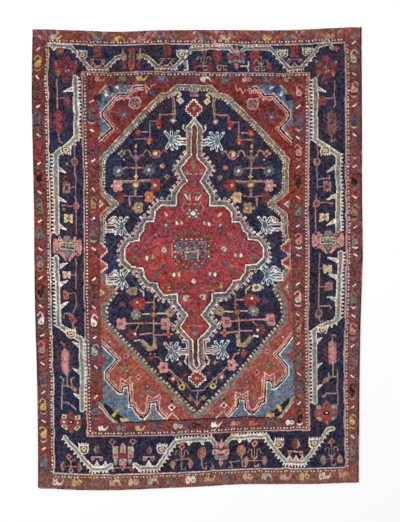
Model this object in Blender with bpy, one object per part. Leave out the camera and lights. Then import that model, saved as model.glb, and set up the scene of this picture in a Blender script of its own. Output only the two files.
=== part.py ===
"""A hand-knotted village rug, laid flat: the knotted body, its two overcast side
cords and its two narrow flat-woven end bands, each a solid of its own.

The rug lies on the plane z = 0 with its length along Y and its pile facing +Z.
Its edges are as uneven as a rug from a hand loom: the width narrows towards the
lower end, the upper end bows in at its left, and the lower end is skewed.
Run it with: blender --background --python part.py
"""

from collections import namedtuple

import bpy
import numpy as np

# Driving dimensions, in metres.
RUG_WIDTH = 1.360  # nominal width over both side cords
RUG_LENGTH = 1.910  # nominal length over both end bands
BODY_THICKNESS = 0.0075  # foundation and worn pile together
PILE_ROUNDING = 0.0012  # how far the clipped pile rounds off at the body's edge
CORD_DIAMETER = 0.0060  # side cord, overcast in wool
END_BAND_WIDTH = 0.0050
END_BAND_THICKNESS = 0.0024
GAP = 0.0003  # between neighbouring solids

# Resolution.
POINTS_PER_SIDE = 40
CORD_BEVEL_RESOLUTION = 3
ROUNDING_RESOLUTION = 1

# How far each edge lies outside the nominal rectangle, in millimetres. Share runs
# from the lower end to the upper end on the sides, and from left to right on the ends.
EdgeStation = namedtuple("EdgeStation", "share left right lower upper")
EDGE_STATIONS = (
    EdgeStation(share=0.000, left=-15, right=-3, lower=4, upper=8),
    EdgeStation(share=0.125, left=-14, right=-1, lower=13, upper=3),
    EdgeStation(share=0.250, left=-10, right=1, lower=13, upper=-3),
    EdgeStation(share=0.375, left=-3, right=6, lower=6, upper=3),
    EdgeStation(share=0.500, left=1, right=14, lower=-1, upper=4),
    EdgeStation(share=0.625, left=3, right=11, lower=-11, upper=4),
    EdgeStation(share=0.750, left=8, right=11, lower=-12, upper=3),
    EdgeStation(share=0.875, left=12, right=10, lower=-13, upper=9),
    EdgeStation(share=1.000, left=8, right=9, lower=-19, upper=18),
)

# Wool and cotton as (red, green, blue, roughness); none of them is metallic.
Yarn = namedtuple("Yarn", "red green blue roughness")
MADDER_PILE = Yarn(0.30, 0.06, 0.05, 0.95)
BROWN_OVERCAST = Yarn(0.16, 0.07, 0.05, 0.90)
UNDYED_WEAVE = Yarn(0.45, 0.33, 0.20, 0.90)


def clear_scene():
    """Removes whatever the startup file or an earlier run left behind."""
    for obj in list(bpy.data.objects):
        bpy.data.objects.remove(obj)


def wool_material(name, yarn):
    """A matt Principled material of the yarn's colour."""
    material = bpy.data.materials.new(name)
    material.use_nodes = True
    shader = material.node_tree.nodes["Principled BSDF"]
    shader.inputs["Base Color"].default_value = (yarn.red, yarn.green, yarn.blue, 1)
    shader.inputs["Roughness"].default_value = yarn.roughness
    shader.inputs["Metallic"].default_value = 0
    return material


def edge_offset(side, share):
    """How far the named edge lies outside the rectangle at this share, in metres.

    A Catmull-Rom curve runs smoothly through the stations.
    """
    values = [getattr(station, side) for station in EDGE_STATIONS]
    padded = [2 * values[0] - values[1], *values, 2 * values[-1] - values[-2]]
    place = share * (len(values) - 1)
    first = min(int(place), len(values) - 2)
    t = place - first
    before, start, end, after = padded[first : first + 4]
    offset = start + t * (end - before) / 2
    offset += t**2 * (before - 2.5 * start + 2 * end - after / 2)
    offset += t**3 * (1.5 * (start - end) + (after - before) / 2)
    return offset / 1000


def loom_point(across, along):
    """The place at these shares of the width and length, from the rectangle's centre."""
    left = -RUG_WIDTH / 2 - edge_offset("left", along)
    right = RUG_WIDTH / 2 + edge_offset("right", along)
    lower = -RUG_LENGTH / 2 - edge_offset("lower", across)
    upper = RUG_LENGTH / 2 + edge_offset("upper", across)
    return np.array(
        (left + across * (right - left), lower + along * (upper - lower))
    )


def outline_centre():
    """The middle of the box round the uneven outline, from the rectangle's centre."""
    shares = np.linspace(0, 1, POINTS_PER_SIDE)
    sides = [loom_point(across, share) for across in (0, 1) for share in shares]
    ends = [loom_point(share, along) for along in (0, 1) for share in shares]
    points = np.array(sides + ends)
    return (points.min(axis=0) + points.max(axis=0)) / 2


CENTRE = outline_centre()


def rug_point(across, along):
    """The place on the floor at these shares, from the middle of the rug's box."""
    return loom_point(across, along) - CENTRE


def inset_point(across, along, side_inset, end_inset):
    """The rug point, drawn in by fixed widths from the sides and from the ends."""
    point = rug_point(across, along)
    side_pull = side_inset * (1 - 2 * across)
    end_pull = end_inset * (1 - 2 * along)
    return point + np.array((side_pull, end_pull))


def side_path(across, side_inset, end_inset):
    """Points up one side of the rug, from the lower end to the upper end."""
    shares = np.linspace(0, 1, POINTS_PER_SIDE)
    return [inset_point(across, share, side_inset, end_inset) for share in shares]


def end_path(along, side_inset, end_inset):
    """Points across one end of the rug, from left to right."""
    shares = np.linspace(0, 1, POINTS_PER_SIDE)
    return [inset_point(share, along, side_inset, end_inset) for share in shares]


def poly_curve(name, points, dimensions, cyclic):
    """A curve object with one POLY spline through these floor points."""
    curve = bpy.data.curves.new(name, "CURVE")
    curve.dimensions = dimensions
    spline = curve.splines.new("POLY")
    spline.points.add(len(points) - 1)
    for spline_point, (x, y) in zip(spline.points, points, strict=True):
        spline_point.co = (x, y, 0, 1)
    spline.use_cyclic_u = cyclic
    return bpy.data.objects.new(name, curve)


def flat_solid(name, outline, thickness, rounding, material):
    """A flat solid of this outline that stands on the floor."""
    obj = poly_curve(name, outline, "2D", cyclic=True)
    obj.data.fill_mode = "BOTH"
    obj.data.bevel_depth = rounding
    obj.data.bevel_resolution = ROUNDING_RESOLUTION
    obj.data.offset = -rounding
    obj.data.extrude = thickness / 2 - rounding
    obj.data.materials.append(material)
    obj.location.z = thickness / 2
    return obj


def cord_solid(name, path, diameter, material):
    """A round cord that lies on the floor along this path."""
    obj = poly_curve(name, path, "3D", cyclic=False)
    obj.data.bevel_depth = diameter / 2
    obj.data.bevel_resolution = CORD_BEVEL_RESOLUTION
    obj.data.use_fill_caps = True
    obj.data.materials.append(material)
    obj.location.z = diameter / 2
    return obj


def knotted_body(material):
    """The foundation with its pile, between the side cords and the end bands."""
    side_inset = CORD_DIAMETER + GAP
    end_inset = END_BAND_WIDTH + GAP
    outline = end_path(0, side_inset, end_inset)
    outline += side_path(1, side_inset, end_inset)[1:]
    outline += end_path(1, side_inset, end_inset)[-2::-1]
    outline += side_path(0, side_inset, end_inset)[-2:0:-1]
    return flat_solid("rug_body", outline, BODY_THICKNESS, PILE_ROUNDING, material)


def side_cord(name, across, material):
    """The cord of bundled edge warps, overcast in wool, along one whole side."""
    path = side_path(across, CORD_DIAMETER / 2, 0)
    return cord_solid(name, path, CORD_DIAMETER, material)


def end_band(name, along, material):
    """The narrow flat-woven strip that locks the knots at one end."""
    side_inset = CORD_DIAMETER + GAP
    outer = end_path(along, side_inset, 0)
    inner = end_path(along, side_inset, END_BAND_WIDTH)
    outline = outer + inner[::-1]
    if along == 1:
        outline.reverse()
    return flat_solid(name, outline, END_BAND_THICKNESS, 0, material)


def main():
    clear_scene()
    pile = wool_material("knotted_wool", MADDER_PILE)
    overcast = wool_material("overcast_wool", BROWN_OVERCAST)
    weave = wool_material("end_weave", UNDYED_WEAVE)
    pieces = (
        knotted_body(pile),
        side_cord("side_cord_left", 0, overcast),
        side_cord("side_cord_right", 1, overcast),
        end_band("end_band_lower", 0, weave),
        end_band("end_band_upper", 1, weave),
    )
    collection = bpy.data.collections.new("persian_rug")
    bpy.context.scene.collection.children.link(collection)
    for piece in pieces:
        collection.objects.link(piece)


main()
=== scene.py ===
import math

import bpy
import numpy
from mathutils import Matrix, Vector


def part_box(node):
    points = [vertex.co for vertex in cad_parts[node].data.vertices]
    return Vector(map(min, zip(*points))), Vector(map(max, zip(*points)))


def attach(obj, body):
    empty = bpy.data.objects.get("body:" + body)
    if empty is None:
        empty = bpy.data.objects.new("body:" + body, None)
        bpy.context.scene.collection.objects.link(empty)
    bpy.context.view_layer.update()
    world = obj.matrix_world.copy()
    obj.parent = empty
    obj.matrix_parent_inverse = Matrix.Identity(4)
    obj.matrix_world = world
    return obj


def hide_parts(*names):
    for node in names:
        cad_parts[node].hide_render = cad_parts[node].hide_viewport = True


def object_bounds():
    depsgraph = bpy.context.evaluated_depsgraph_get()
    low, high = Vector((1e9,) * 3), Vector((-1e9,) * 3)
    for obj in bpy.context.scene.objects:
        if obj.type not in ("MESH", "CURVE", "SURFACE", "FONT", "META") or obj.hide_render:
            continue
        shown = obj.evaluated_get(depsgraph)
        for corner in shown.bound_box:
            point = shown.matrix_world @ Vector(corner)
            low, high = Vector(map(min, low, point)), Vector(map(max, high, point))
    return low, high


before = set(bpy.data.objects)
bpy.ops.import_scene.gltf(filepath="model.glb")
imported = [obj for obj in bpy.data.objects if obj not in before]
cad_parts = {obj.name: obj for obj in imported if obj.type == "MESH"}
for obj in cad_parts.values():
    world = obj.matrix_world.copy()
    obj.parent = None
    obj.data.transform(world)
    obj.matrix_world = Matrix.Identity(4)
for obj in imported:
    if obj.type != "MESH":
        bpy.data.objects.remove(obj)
CAD_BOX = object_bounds()

# ---- the rug is drawn knot by knot on a chart, then each knot is set on the outline of the CAD body
KNOT = 0.0028
COLUMNS = 486
ROWS = 682
DOT_PITCH = 5
SEED = 1907

# ---- the outline is looked for at this many stations on each side, this far in from its ends, in metres
STATIONS = 61
END_MARGIN = 0.045
END_TUCK = 0.001

# ---- how far the weaver's lines wander: (place up the rug, distance to the right), both in knots
INNER_LEAN = ((-285, 0), (-266, 3), (-225, 1.7), (-180, 1.2), (-120, -0.8), (-30, -1.6), (60, -2.4),
        (140, -1.2), (200, 0), (281, 0.5))
OUTER_LEAN = ((-320, 3.5), (-285, 3.5), (-240, 1.8), (-180, 0.5), (0, 0.5), (200, 0), (300, -1.3))
SWAY = ((-262, 0), (-240, 2), (-165, 2.4), (-100, 0.4), (-50, 0.6), (0, -0.4), (60, -1.6), (106, -1),
        (150, 0.4), (210, 1), (260, 0.4))
LEFT_PULL = ((-262, 0), (-225, -4), (-165, -2.8), (-100, 0))
RIGHT_PULL = ((-262, 0), (-225, 4.6), (-100, 5), (-75, 0))
SAG = 4.0
LIFT = 1.5

# ---- heights and thicknesses of the pieces, in metres
WAVE_HEIGHT = 0.0008
TUFT_HEIGHT = 0.0001
PILE_DROOP = 0.0022
BACK_RIDGE = 0.0003
BAND_HALF = 0.0025
CORD_TURN = 0.0024
BAND_TURN = 0.0026
PILE_STRIPS = 4
TUBE_SIDES = 8

# ---- dye, painted light on the lower end and right side, and wear: display colours, and shares of them
FOUNDATION = (0.78, 0.72, 0.62)
# painted light: the greyish pink that the brighter lit lower end and right side are paled toward
PAINTED_LIGHT_TONE = (0.66, 0.57, 0.53)
WORN = (0.62, 0.46, 0.37)
# painted light: how far the lower end and the right side are paled, as if lit brighter there
LOWER_PAINTED_LIGHT = 0.14
SIDE_PAINTED_LIGHT = 0.09
SPECKLE = 0.10
KNOT_JITTER = 0.10
WANDER = 1.0
BLOTCHES = ((38, 0.05), (9, 0.06), (2.6, 0.13))

# ---- light and view: strengths in Blender's units, lengths in metres
WORLD_LIGHT = 0.74
WINDOW_LIGHT = 185
FLOOR_HALF = 8
SENSOR_HEIGHT = 24
LENS = 50
VIEW_HEIGHT = 2.1826
VIEW_RIGHT = 0.0117
VIEW_UP = -0.0105

# ---- the yarns, one letter each: display colours, red, green and blue from 0 to 1
YARNS = {
    "n": (0.172, 0.165, 0.232),    # navy
    "N": (0.195, 0.215, 0.310),    # lighter navy
    "r": (0.500, 0.205, 0.195),    # madder red
    "s": (0.545, 0.262, 0.222),    # brick red
    "S": (0.428, 0.186, 0.180),    # deep brick red
    "R": (0.400, 0.210, 0.200),    # dark madder
    "m": (0.535, 0.210, 0.235),    # crimson
    "M": (0.600, 0.235, 0.225),    # bright madder
    "k": (0.165, 0.125, 0.135),    # brown-black
    "h": (0.345, 0.245, 0.215),    # brown
    "w": (0.850, 0.810, 0.765),    # ivory
    "W": (0.775, 0.800, 0.815),    # cool white
    "i": (0.790, 0.655, 0.620),    # rosy ivory
    "c": (0.760, 0.675, 0.560),    # cream
    "t": (0.600, 0.490, 0.390),    # tan
    "p": (0.740, 0.500, 0.480),    # pink
    "P": (0.680, 0.500, 0.520),    # mauve pink
    "o": (0.700, 0.390, 0.290),    # orange
    "y": (0.730, 0.620, 0.350),    # yellow
    "b": (0.345, 0.415, 0.485),    # light blue
    "B": (0.270, 0.310, 0.410),    # middle blue
    "a": (0.290, 0.390, 0.395),    # aqua
    "g": (0.375, 0.405, 0.320),    # green
    "l": (0.630, 0.665, 0.595),    # pale green
    "e": (0.470, 0.440, 0.425),    # grey
    "E": (0.340, 0.335, 0.350),    # dark grey
    "u": (0.370, 0.215, 0.280),    # plum
    "q": (0.560, 0.410, 0.400),    # faded rose
}
LETTERS = "".join(YARNS)

# ---- where the bands of the design lie, in knots from the middle of the rug
OUTER_LEFT, OUTER_RIGHT, OUTER_LOW, OUTER_HIGH = -221, 221.5, -320, 322
INNER_LEFT, INNER_RIGHT, INNER_LOW, INNER_HIGH = -170, 166.5, -262.6, 281
GROUND_LEFT, GROUND_RIGHT, GROUND_LOW, GROUND_HIGH = -146, 142, -241, 263
AXIS = -5

# ---- the yarns that are mixed within one ground
GUARD_REDS = "RRRRRRrRrRSRSuh"
BLUES = "bbbbBbbabeb"
DUSKY_BLUES = "bBbeBEbBqba"
CRIMSONS = "mmmMmm"
GREYS = "eeeqeEge"

# ---- outlines of field, medallion and corners: (distance from the axis, height), from the top down
FIELD_TOP = [(0, 260), (24, 260), (37, 248), (48, 246), (81, 214), (137, 154), (139, 149), (139, 103),
        (119, 85), (138, 67), (139, 26)]
FIELD_LOW = [(139, -17), (137, -29), (123, -46), (136, -65), (136, -94), (5, -235), (0, -236)]
MEDALLION = [(4, 197), (4, 157), (20, 137), (9, 118), (25, 98), (25, 82), (47, 82), (58, 71), (59, 57),
        (70, 57), (74, 48), (75, 43), (81, 38), (82, 28), (96, 27), (104, 16), (104, 1), (93, -10),
        (77, -11), (76, -23), (69, -34), (57, -35), (56, -41), (46, -53), (26, -53), (26, -65), (10, -85),
        (22, -102), (4, -123), (4, -160), (0, -165)]
UPPER_CORNER = [(148, 178), (127, 198), (141, 214), (141, 222), (118, 249), (116, 251), (102, 250),
        (97, 256), (91, 261), (78, 261)]
LOWER_CORNER = [(148, -120), (121, -147), (138, -165), (138, -177), (115, -199), (109, -199), (107, -190),
        (101, -189), (100, -220), (94, -221), (84, -236), (76, -237), (67, -228), (66, -216), (59, -215),
        (58, -225), (46, -240)]
# the lines beside each corner, from the blue inward: distance, yarn and width
CORNER_LINES = ((6.9, "i", 1.5), (5.3, "r", 2.0), (3.8, "i", 1.6), (1.9, "k", 2.4), (0, "w", 1.6))
DUSKY_LINES = ((6.9, "p", 1.4), (5.3, "r", 2.0), (3.8, "i", 1.4), (1.9, "k", 2.2), (0, "i", 1.4))
# the ends of a comb star's loops, from its middle
COMB_ENDS = ((0, 12), (9, 12), (-9, 12), (-12, 5), (-12, -6), (-8, -12), (-1, -13.5), (7, -12))


class KnotChart:
    """A grid of yarn numbers, one for each knot, with (0, 0) at its middle and y running up the rug."""

    def __init__(self, columns, rows, ground):
        self.yarns = numpy.full((rows, columns), LETTERS.index(ground), dtype=numpy.uint8)
        self.x_of = numpy.arange(columns) - (columns - 1) / 2
        self.y_of = numpy.arange(rows) - (rows - 1) / 2

    def window(self, x_low, x_high, y_low, y_high):
        """The knots of one box: row and column slices, and the x and y of each knot in it."""
        columns = slice(*numpy.searchsorted(self.x_of, (x_low, x_high)))
        rows = slice(*numpy.searchsorted(self.y_of, (y_low, y_high)))
        return rows, columns, self.x_of[None, columns], self.y_of[rows, None]

    def paint(self, rows, columns, chosen, yarn):
        self.yarns[rows, columns][chosen] = LETTERS.index(yarn)

    def box(self, x_low, x_high, y_low, y_high, yarn):
        rows, columns, _, _ = self.window(x_low, x_high, y_low, y_high)
        self.yarns[rows, columns] = LETTERS.index(yarn)

    def shape(self, corners, yarn):
        """Fill a closed outline."""
        xs = [x for x, _ in corners]
        ys = [y for _, y in corners]
        rows, columns, x, y = self.window(min(xs) - 1, max(xs) + 1, min(ys) - 1, max(ys) + 1)
        inside = numpy.zeros(numpy.broadcast_shapes(x.shape, y.shape), dtype=bool)
        for (xa, ya), (xb, yb) in zip(corners, corners[1:] + corners[:1]):
            if ya != yb:
                inside ^= ((ya > y) != (yb > y)) & (x < xa + (y - ya) / (yb - ya) * (xb - xa))
        self.paint(rows, columns, inside, yarn)

    def line(self, points, yarn, width):
        """Draw a bent line of the given width in knots."""
        reach = width / 2
        for (xa, ya), (xb, yb) in zip(points, points[1:]):
            rows, columns, x, y = self.window(
                min(xa, xb) - reach - 1, max(xa, xb) + reach + 1,
                min(ya, yb) - reach - 1, max(ya, yb) + reach + 1)
            run, rise = xb - xa, yb - ya
            along = ((x - xa) * run + (y - ya) * rise) / max(run * run + rise * rise, 1e-9)
            along = numpy.clip(along, 0, 1)
            away = numpy.hypot(x - xa - along * run, y - ya - along * rise)
            self.paint(rows, columns, away <= reach, yarn)

    def diamond(self, x, y, half_width, half_height, yarn):
        self.shape([(x - half_width, y), (x, y + half_height), (x + half_width, y), (x, y - half_height)],
                yarn)

    def stamp(self, motif, x, y, colours="", flip_x=False, flip_y=False, scale=(1, 1)):
        """Set a charted motif with its middle at (x, y). A digit takes its yarn from colours."""
        grid = numpy.array([list(row) for row in motif])
        across = (numpy.arange(int(grid.shape[1] * scale[0])) + 0.5) / scale[0]
        down = (numpy.arange(int(grid.shape[0] * scale[1])) + 0.5) / scale[1]
        grid = grid[down.astype(int)][:, across.astype(int)]
        if flip_x:
            grid = grid[:, ::-1]
        if not flip_y:
            grid = grid[::-1]
        height, width = grid.shape
        row = int(round(y + (len(self.y_of) - height) / 2))
        column = int(round(x + (len(self.x_of) - width) / 2))
        for mark in numpy.unique(grid):
            yarn = colours[int(mark) - 1] if mark.isdigit() else mark
            if yarn != ".":
                self.yarns[row:row + height, column:column + width][grid == mark] = LETTERS.index(yarn)


def rows(text):
    """The rows of a chart that is written as lines of text."""
    return text.split()


def widened(half):
    """A whole motif from its left half; the last column is the axis."""
    return [row + row[-2::-1] for row in rows(half)]


def heightened(half):
    """A whole motif from its top half; the last row is the axis."""
    return half + half[-2::-1]


# ---- charted motifs: "." leaves the ground, a letter is a yarn, a digit is chosen where it is stamped
DASH = rows("""\
....11
...111
.1111.
1111..
11....""")
BIRD = rows("""\
....11......
...1111.....
..11..11....
.11....11...
11......11..
.......111..
......1111..
.....11111..
....111111..
...1111111..
..11111111..
..1111k111..
..111k2k11..
..1111k111..
...111111...
....1111....
.....kk.....
............
..2......2..
..22.22.22..
...222222...
.....22.....""")
DUCK = rows("""\
.1...1.........
.11.111.......1
1111111......11
1111111k....11.
11111111k..111.
1112111111111..
1111111111111..
.11111111111...
..1....11......""")
LOOPED_DUCK = rows("""\
..111...kkkk...
.11111.k1111k..
1111111k11.11k.
111111111...11.
1112111k11.k11.
11111111111111.
.111111k11111..
..1111..k11k...
...11..........""")
CUP = widened("""\
w...w...w
ww..ww.ww
ww..ww.ww
wwwwwwwww
wwhhhhhhh
wwhhhcccc
wwhhccccc
wwhhccckk
wwhhccckk
.wwhhcccc
.wwhhhccc
..wwhhhhh
...wwwhhh
.....wwww""")
CANDLE = rows("""\
....2....
...222...
..12233..
..12233..
.1122333.
.1122333.
11122333.
111222333
111222333
111222333
.1122233.
.1122233.
..12223..
...222...
....2....""")
FAN = rows("""\
...3....
..33.3..
..3333..
.112333.
.111233.
.1112333
11112333
11112233
11112333
.1112333
.111233.
.112333.
..3333..
..33.3..
...3....""")
LOZENGE = widened("""\
...1111
..11111
.112222
.122221
1122111
1122133
1122134
1122134
1122134
1122134
1122133
.122111
.112221
..11222
...1122
....111
.....11
......1""")
CORNER_ROSETTE = widened("""\
................1
...............11
..............111
.............1111
............11111
............11R11
..22222222.111R11
..22233222.11RRR1
..223kk322.111R11
..223kk322.11RRR1
..22233222111RRR1
..2222222111111R1
.1111111111111111
.1111111111111111
1111111111111kkkk
111112211111kkkkk
111122221111kkkww
111122221111kkkww
111112211111kkkkk
1111111111111kkkk
11111111111111111
.1111111111111111
.1122222211111111
..223333221111111
..223kk3322111R11
...223k3322111R11
....223322211RRR1
.....222222.1RRR1
......2222..11R11
............11R13
............11113
.............1123
.............1111
..............111
...............11
................1""")
STACKED_PALMETTE = widened("""\
................p
...............pp
..............ppp
.............pppp
.............pppp
.cccccccc...ppppp
.cllllllc...ppppp
.cltlllgc...pppgg
.clltlggc...ppgll
.cllltlgc...ppgll
.cggcltlc...pppgg
.cllllllc...ppppp
.cccccccc...ppppp
ppppppppp.RRRRRRR
pppprrppp.RRRRRRR
ppprRRrpp.RRmmmmm
ppprRRrpp.RRmmRRR
pppprrppp.RRmmmmm
ppppppppp.RRRRRRR
.........RRRRRRRR
.eeeeeeee...ppppp
.eelllgee..pppppp
.eelttlge..pppggg
..eltlgee..ppglll
..eegleee..ppglll
...eeeeee..pppggg
....eeee...pppppp
............ppppp
.............oooo
..............ooo
...oooooooooooooo
.oo...........ooo
oo..oo.........pp
oo...o.........pp
.oooo...........p""")
CROWNED_PALMETTE = widened("""\
............p
...........pp
........p..pp
........pp.pp
.......pp.ppp
..eee...ppppp
.eeeeee..pppp
.eeRReee..ppp
.eeeeeeeepppp
..........ggg
.ppppppp..gkk
pppppppppp.gk
ppprrpppppppp
ppprrpppppppp
pppppppppppuu
.pppppp.uuuuu
....eeeeeuuuu
..eeeueeeueee
..eueeeueeeee
...eeeeueeepp
....eeee.pppp
..........ppp
..........ppr
.........pppr
..........ppr
..........ppp
...........pp
............p""")
SPADE_PALMETTE = widened("""\
..............mmm
............mmmmm
...........mmmmmm
...........mmmmmm
...tt......mmmmmm
..rttr.....mmmmmm
..rttr......mmmmm
...rr........ggRR
..tttttt....kggRR
.toooooot..ggkRRR
.toccccot..gggRRR
.tocRRcot..kggRRR
.toccccot...ggRRR
.toooooot...kgRRR
..tttttt...RRRmmm
...ggg....RRRmmmm
...gg.....RRmmmmm
....rr....Rmmmmmm
...mmmm....mmmmmm
..mmmmmm...mRRRmm
..mmmmmm....oooRR
..ummmmu....ooooo
..uummuu....ooooo
...uuuu......oooo
....bb.......oooo
..............ooo
...............oo""")
TOP_PALMETTE = widened("""\
............pp
............pp
...........ppp
..........pppp
..........pppp
.........ppppp
........ggggcc
.eeee...gggggg
eemmmm...ggggg
emmmmmmmmmgggg
mmmmmmmmmmmmmm
mmmmRRmmmmRRRR
mmmmmmmmmmmmmm
.mmmmmmmmmmmmm
..mmmmm.eemmmm
..eeeeeeeeeeee
.eeebeeebeeeee
.eeeeeeeeee.rr
..eeee....rrrr
..........rppp
.........rrppp
.........rrrrr
.........rrppp
..........rppp
..........rrrr
............pp""")
SIDE_PALMETTE = widened("""\
.................eeee.
.........pp......eeeee
........pppp....eeeeee
..pp....ppppp..eeueeee
.pppp...pppppp.eeeueee
.ppppp.ppppppp.eeeeeee
.pppppp.ppppppp.eeueee
ppppppp.........eeeeee
pppppppp..cccccccccccc
ppppppppp.cccccccccccc
pppppqppp.cckkkggggggg
ppppqppppoccgglgggllgg
pppqqppppoccglllggllgg
pppqqppppoccgglgggllgg
ppppqppppoccgggggggggg
pppppqppp.cckkkggggggg
ppppppppp.cccccccccccc
pppppppp..cccccccccccc
ppppppp...............
.ppppp.qqqqqqqqeeueeee
.pppp..pppppppp.eeeeee
..pp..eepppppppp.eeuee
.....eeee.ppppppp.eeee
....eeee..pppppqpp.eee
............pppppp.eee
.............ppppp..ee
..............ppppp.ee
...............pppp..e
................pppp.e
.................ppp..
...................pp.""")
STAR_FLOWER = heightened(widened("""\
..1..1
.11.11
111111
.11122
111223
11123."""))


def oval(x, y, half_width, half_height, count):
    """The corners of an oval."""
    turns = [math.tau * step / count for step in range(count)]
    return [(x + half_width * math.cos(turn), y + half_height * math.sin(turn)) for turn in turns]


def dotted_frame(chart, left, right, low, high, step, pale):
    """A line round the border with a row of ivory dots on a dark ground beside it, at a distance of step."""
    sides = (
        ((left, low), (left, high), (-step, 0), "i" if pale else "P", 2),
        ((right, low), (right, high), (step, 0), "P", 2),
        ((left, low), (right, low), (0, -step), "i" if pale else "P", 2),
        ((left, high), (right, high), (0, step), "i" if pale else "P", 1.4))
    for start, end, (dx, dy), _, _ in sides:
        chart.line([(x + dx, y + dy) for x, y in (start, end)], "h", 4.2)
        length = abs(end[0] - start[0]) + abs(end[1] - start[1])
        across = end[0] > start[0]
        for count in range(int(length // DOT_PITCH)):
            along = (count + 0.5) * DOT_PITCH
            x = round(start[0] + dx + (along if across else 0))
            y = round(start[1] + dy + (0 if across else along))
            chart.box(x - 1, x + 1, y - 1, y + 1, "w")
    for start, end, _, yarn, width in sides:
        chart.line([start, end], yarn, width)


def toothed_band(chart, path, yarns, half_width, teeth, pitch=4.6, length=3, tooth=1.3):
    """A band along a bent path: a rim on both sides, a core and a middle line.
    teeth lists the (segment, side) pairs that have teeth."""
    core, middle, rim = yarns
    for segment, side in teeth:
        (xa, ya), (xb, yb) = path[segment], path[segment + 1]
        run, rise = xb - xa, yb - ya
        distance = math.hypot(run, rise)
        along = (run / distance, rise / distance)
        out = (-along[1] * side, along[0] * side)
        count = max(int(distance / pitch / (abs(along[0]) + abs(along[1]))), 1)
        for number in range(count + 1):
            x = xa + run * number / count + out[0] * half_width
            y = ya + rise * number / count + out[1] * half_width
            tip_x, tip_y = x + out[0] * length, y + out[1] * length
            foot = [(x + turn * along[0] * tooth, y + turn * along[1] * tooth) for turn in (-1, 1)]
            head = [(tip_x + turn * along[0] * 0.8, tip_y + turn * along[1] * 0.8) for turn in (-1, 1)]
            chart.shape([foot[0], head[0], head[1], foot[1]], "w")
    chart.line(path, rim, 2 * half_width)
    chart.line(path, core, 2 * half_width - 2.3)
    chart.line(path, middle, max(2 * half_width - 4.9, 1.5))


def peak(chart, x, y, half, height, fill, rim="w"):
    """A small pointed leaf on the edge of a band."""
    corners = [(x - half, y), (x, y + height), (x + half, y)]
    chart.shape(corners, fill)
    chart.line(corners, rim, 1.8)


def scroll(chart, x, y, reach, yarn):
    """A bar with a curl under each end."""
    chart.line([(x - reach, y), (x + reach, y)], yarn, 1.9)
    for side in (-1, 1):
        chart.diamond(x + side * (reach - 2.4), y - 2.8, 3.6, 3.4, yarn)
        chart.diamond(x + side * (reach - 2.4), y - 2.8, 1.8, 1.6, "n")


def thorn(chart, tip, root):
    """A slanting leaf with an ivory edge on the side of an upright band."""
    lean = 5.5 if tip[1] > root[1] else -5.5
    corners = [root, tip, (root[0], root[1] + lean), root]
    chart.shape(corners[:3], "e")
    chart.line(corners, "w", 1.9)


def bead(chart, x, y, half_width, half_height, rim, heart):
    """A ring on a stem."""
    for grown, yarn in ((1, rim), (0.55, heart)):
        chart.shape(oval(x, y, half_width * grown, half_height * grown, 8), yarn)


def fern(chart, x, y, half, core, sheath, feathers, count):
    """A long leaf: a bright core in a dull sheath, and feathers on both sides."""
    for step in range(count):
        root = y - half * 0.75 + step * half * 1.35 / count
        for side in (-1, 1):
            feather = [(x + side * 3, root), (x + side * 8, root + 2.5), (x + side * 12.5, root + 8)]
            chart.line(feather, feathers, 1.6)
    for wide, tall, yarn in ((6.4, half, sheath), (2.7, half * 0.94, core)):
        chart.shape([(x, y + tall), (x + wide, y + tall * 0.72), (x + wide, y - tall * 0.72), (x, y - tall),
                     (x - wide, y - tall * 0.72), (x - wide, y + tall * 0.72)], yarn)


def notched_flower(chart, x, y, half, petals, heart):
    chart.box(x - half, x + half, y - half, y + half, petals)
    for side in (-1, 1):
        chart.diamond(x, y + side * half, half * 0.4, half * 0.5, "n")
    chart.diamond(x, y, half * 0.5, half * 0.5, heart)
    chart.diamond(x, y, half * 0.25, half * 0.25, petals)


def plant(chart, x, low, bar, high, head, yarns, fan_yarns, fan_reach, fan_drop=0):
    """A flower head on a stem with two bent arms, and a bar that ends in two fans."""
    stem, petals, heart = yarns
    chart.line([(x - fan_reach[0] + 3, bar), (x + fan_reach[1] - 3, bar)], stem, 1.7)
    chart.stamp(FAN, x - fan_reach[0], bar - fan_drop, fan_yarns, flip_x=True)
    chart.stamp(FAN, x + fan_reach[1], bar - fan_drop, fan_yarns)
    chart.line([(x, high), (x, low), (x + 5, low), (x + 6, low + 3)], stem, 1.8)
    top = bar + (high - bar) * 0.64
    for side in (-1, 1):
        chart.line([(x, bar + 2), (x + side * 4, bar + 6), (x + side * 4, top), (x + side * 8, top + 1),
                    (x + side * 10, top - 4)], stem, 1.5)
    chart.diamond(x, high, head, head * 1.1, petals)
    chart.diamond(x, high, head * 0.5, head * 0.5, "R")
    chart.diamond(x, high, head * 0.3, head * 0.3, heart)


def repeat(draw, *marks):
    """The same kind of mark several times, each with its own places, sizes and yarns."""
    for mark in marks:
        draw(*mark)


def draw_grounds(chart):
    chart.box(OUTER_LEFT, OUTER_RIGHT, OUTER_LOW, OUTER_HIGH, "n")
    chart.box(INNER_LEFT, INNER_RIGHT, INNER_LOW, INNER_HIGH, "R")
    dotted_frame(chart, OUTER_LEFT, OUTER_RIGHT, OUTER_LOW, OUTER_HIGH, 3.5, True)


def draw_guard_side(chart, x, top, pitch, count, birds, flip):
    """A column of slanting dashes with a bird between each two."""
    for number in range(count):
        y = top - number * pitch
        chart.stamp(DASH, x, y, "w", flip_x=(number % 2 == 1))
        if number < len(birds):
            chart.stamp(BIRD, x, y - pitch / 2, birds[number], flip_x=flip, scale=(1.1, 1.15))


def draw_guard_row(chart, y, start, pitch, birds, scale=(1, 1)):
    """A row of ducks, each other one turned over."""
    for number, yarns in enumerate(birds):
        motif = DUCK if number % 3 != 1 else LOOPED_DUCK
        chart.stamp(motif, start + number * pitch, y, yarns, flip_y=(number % 2 == 1), scale=scale)


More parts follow.
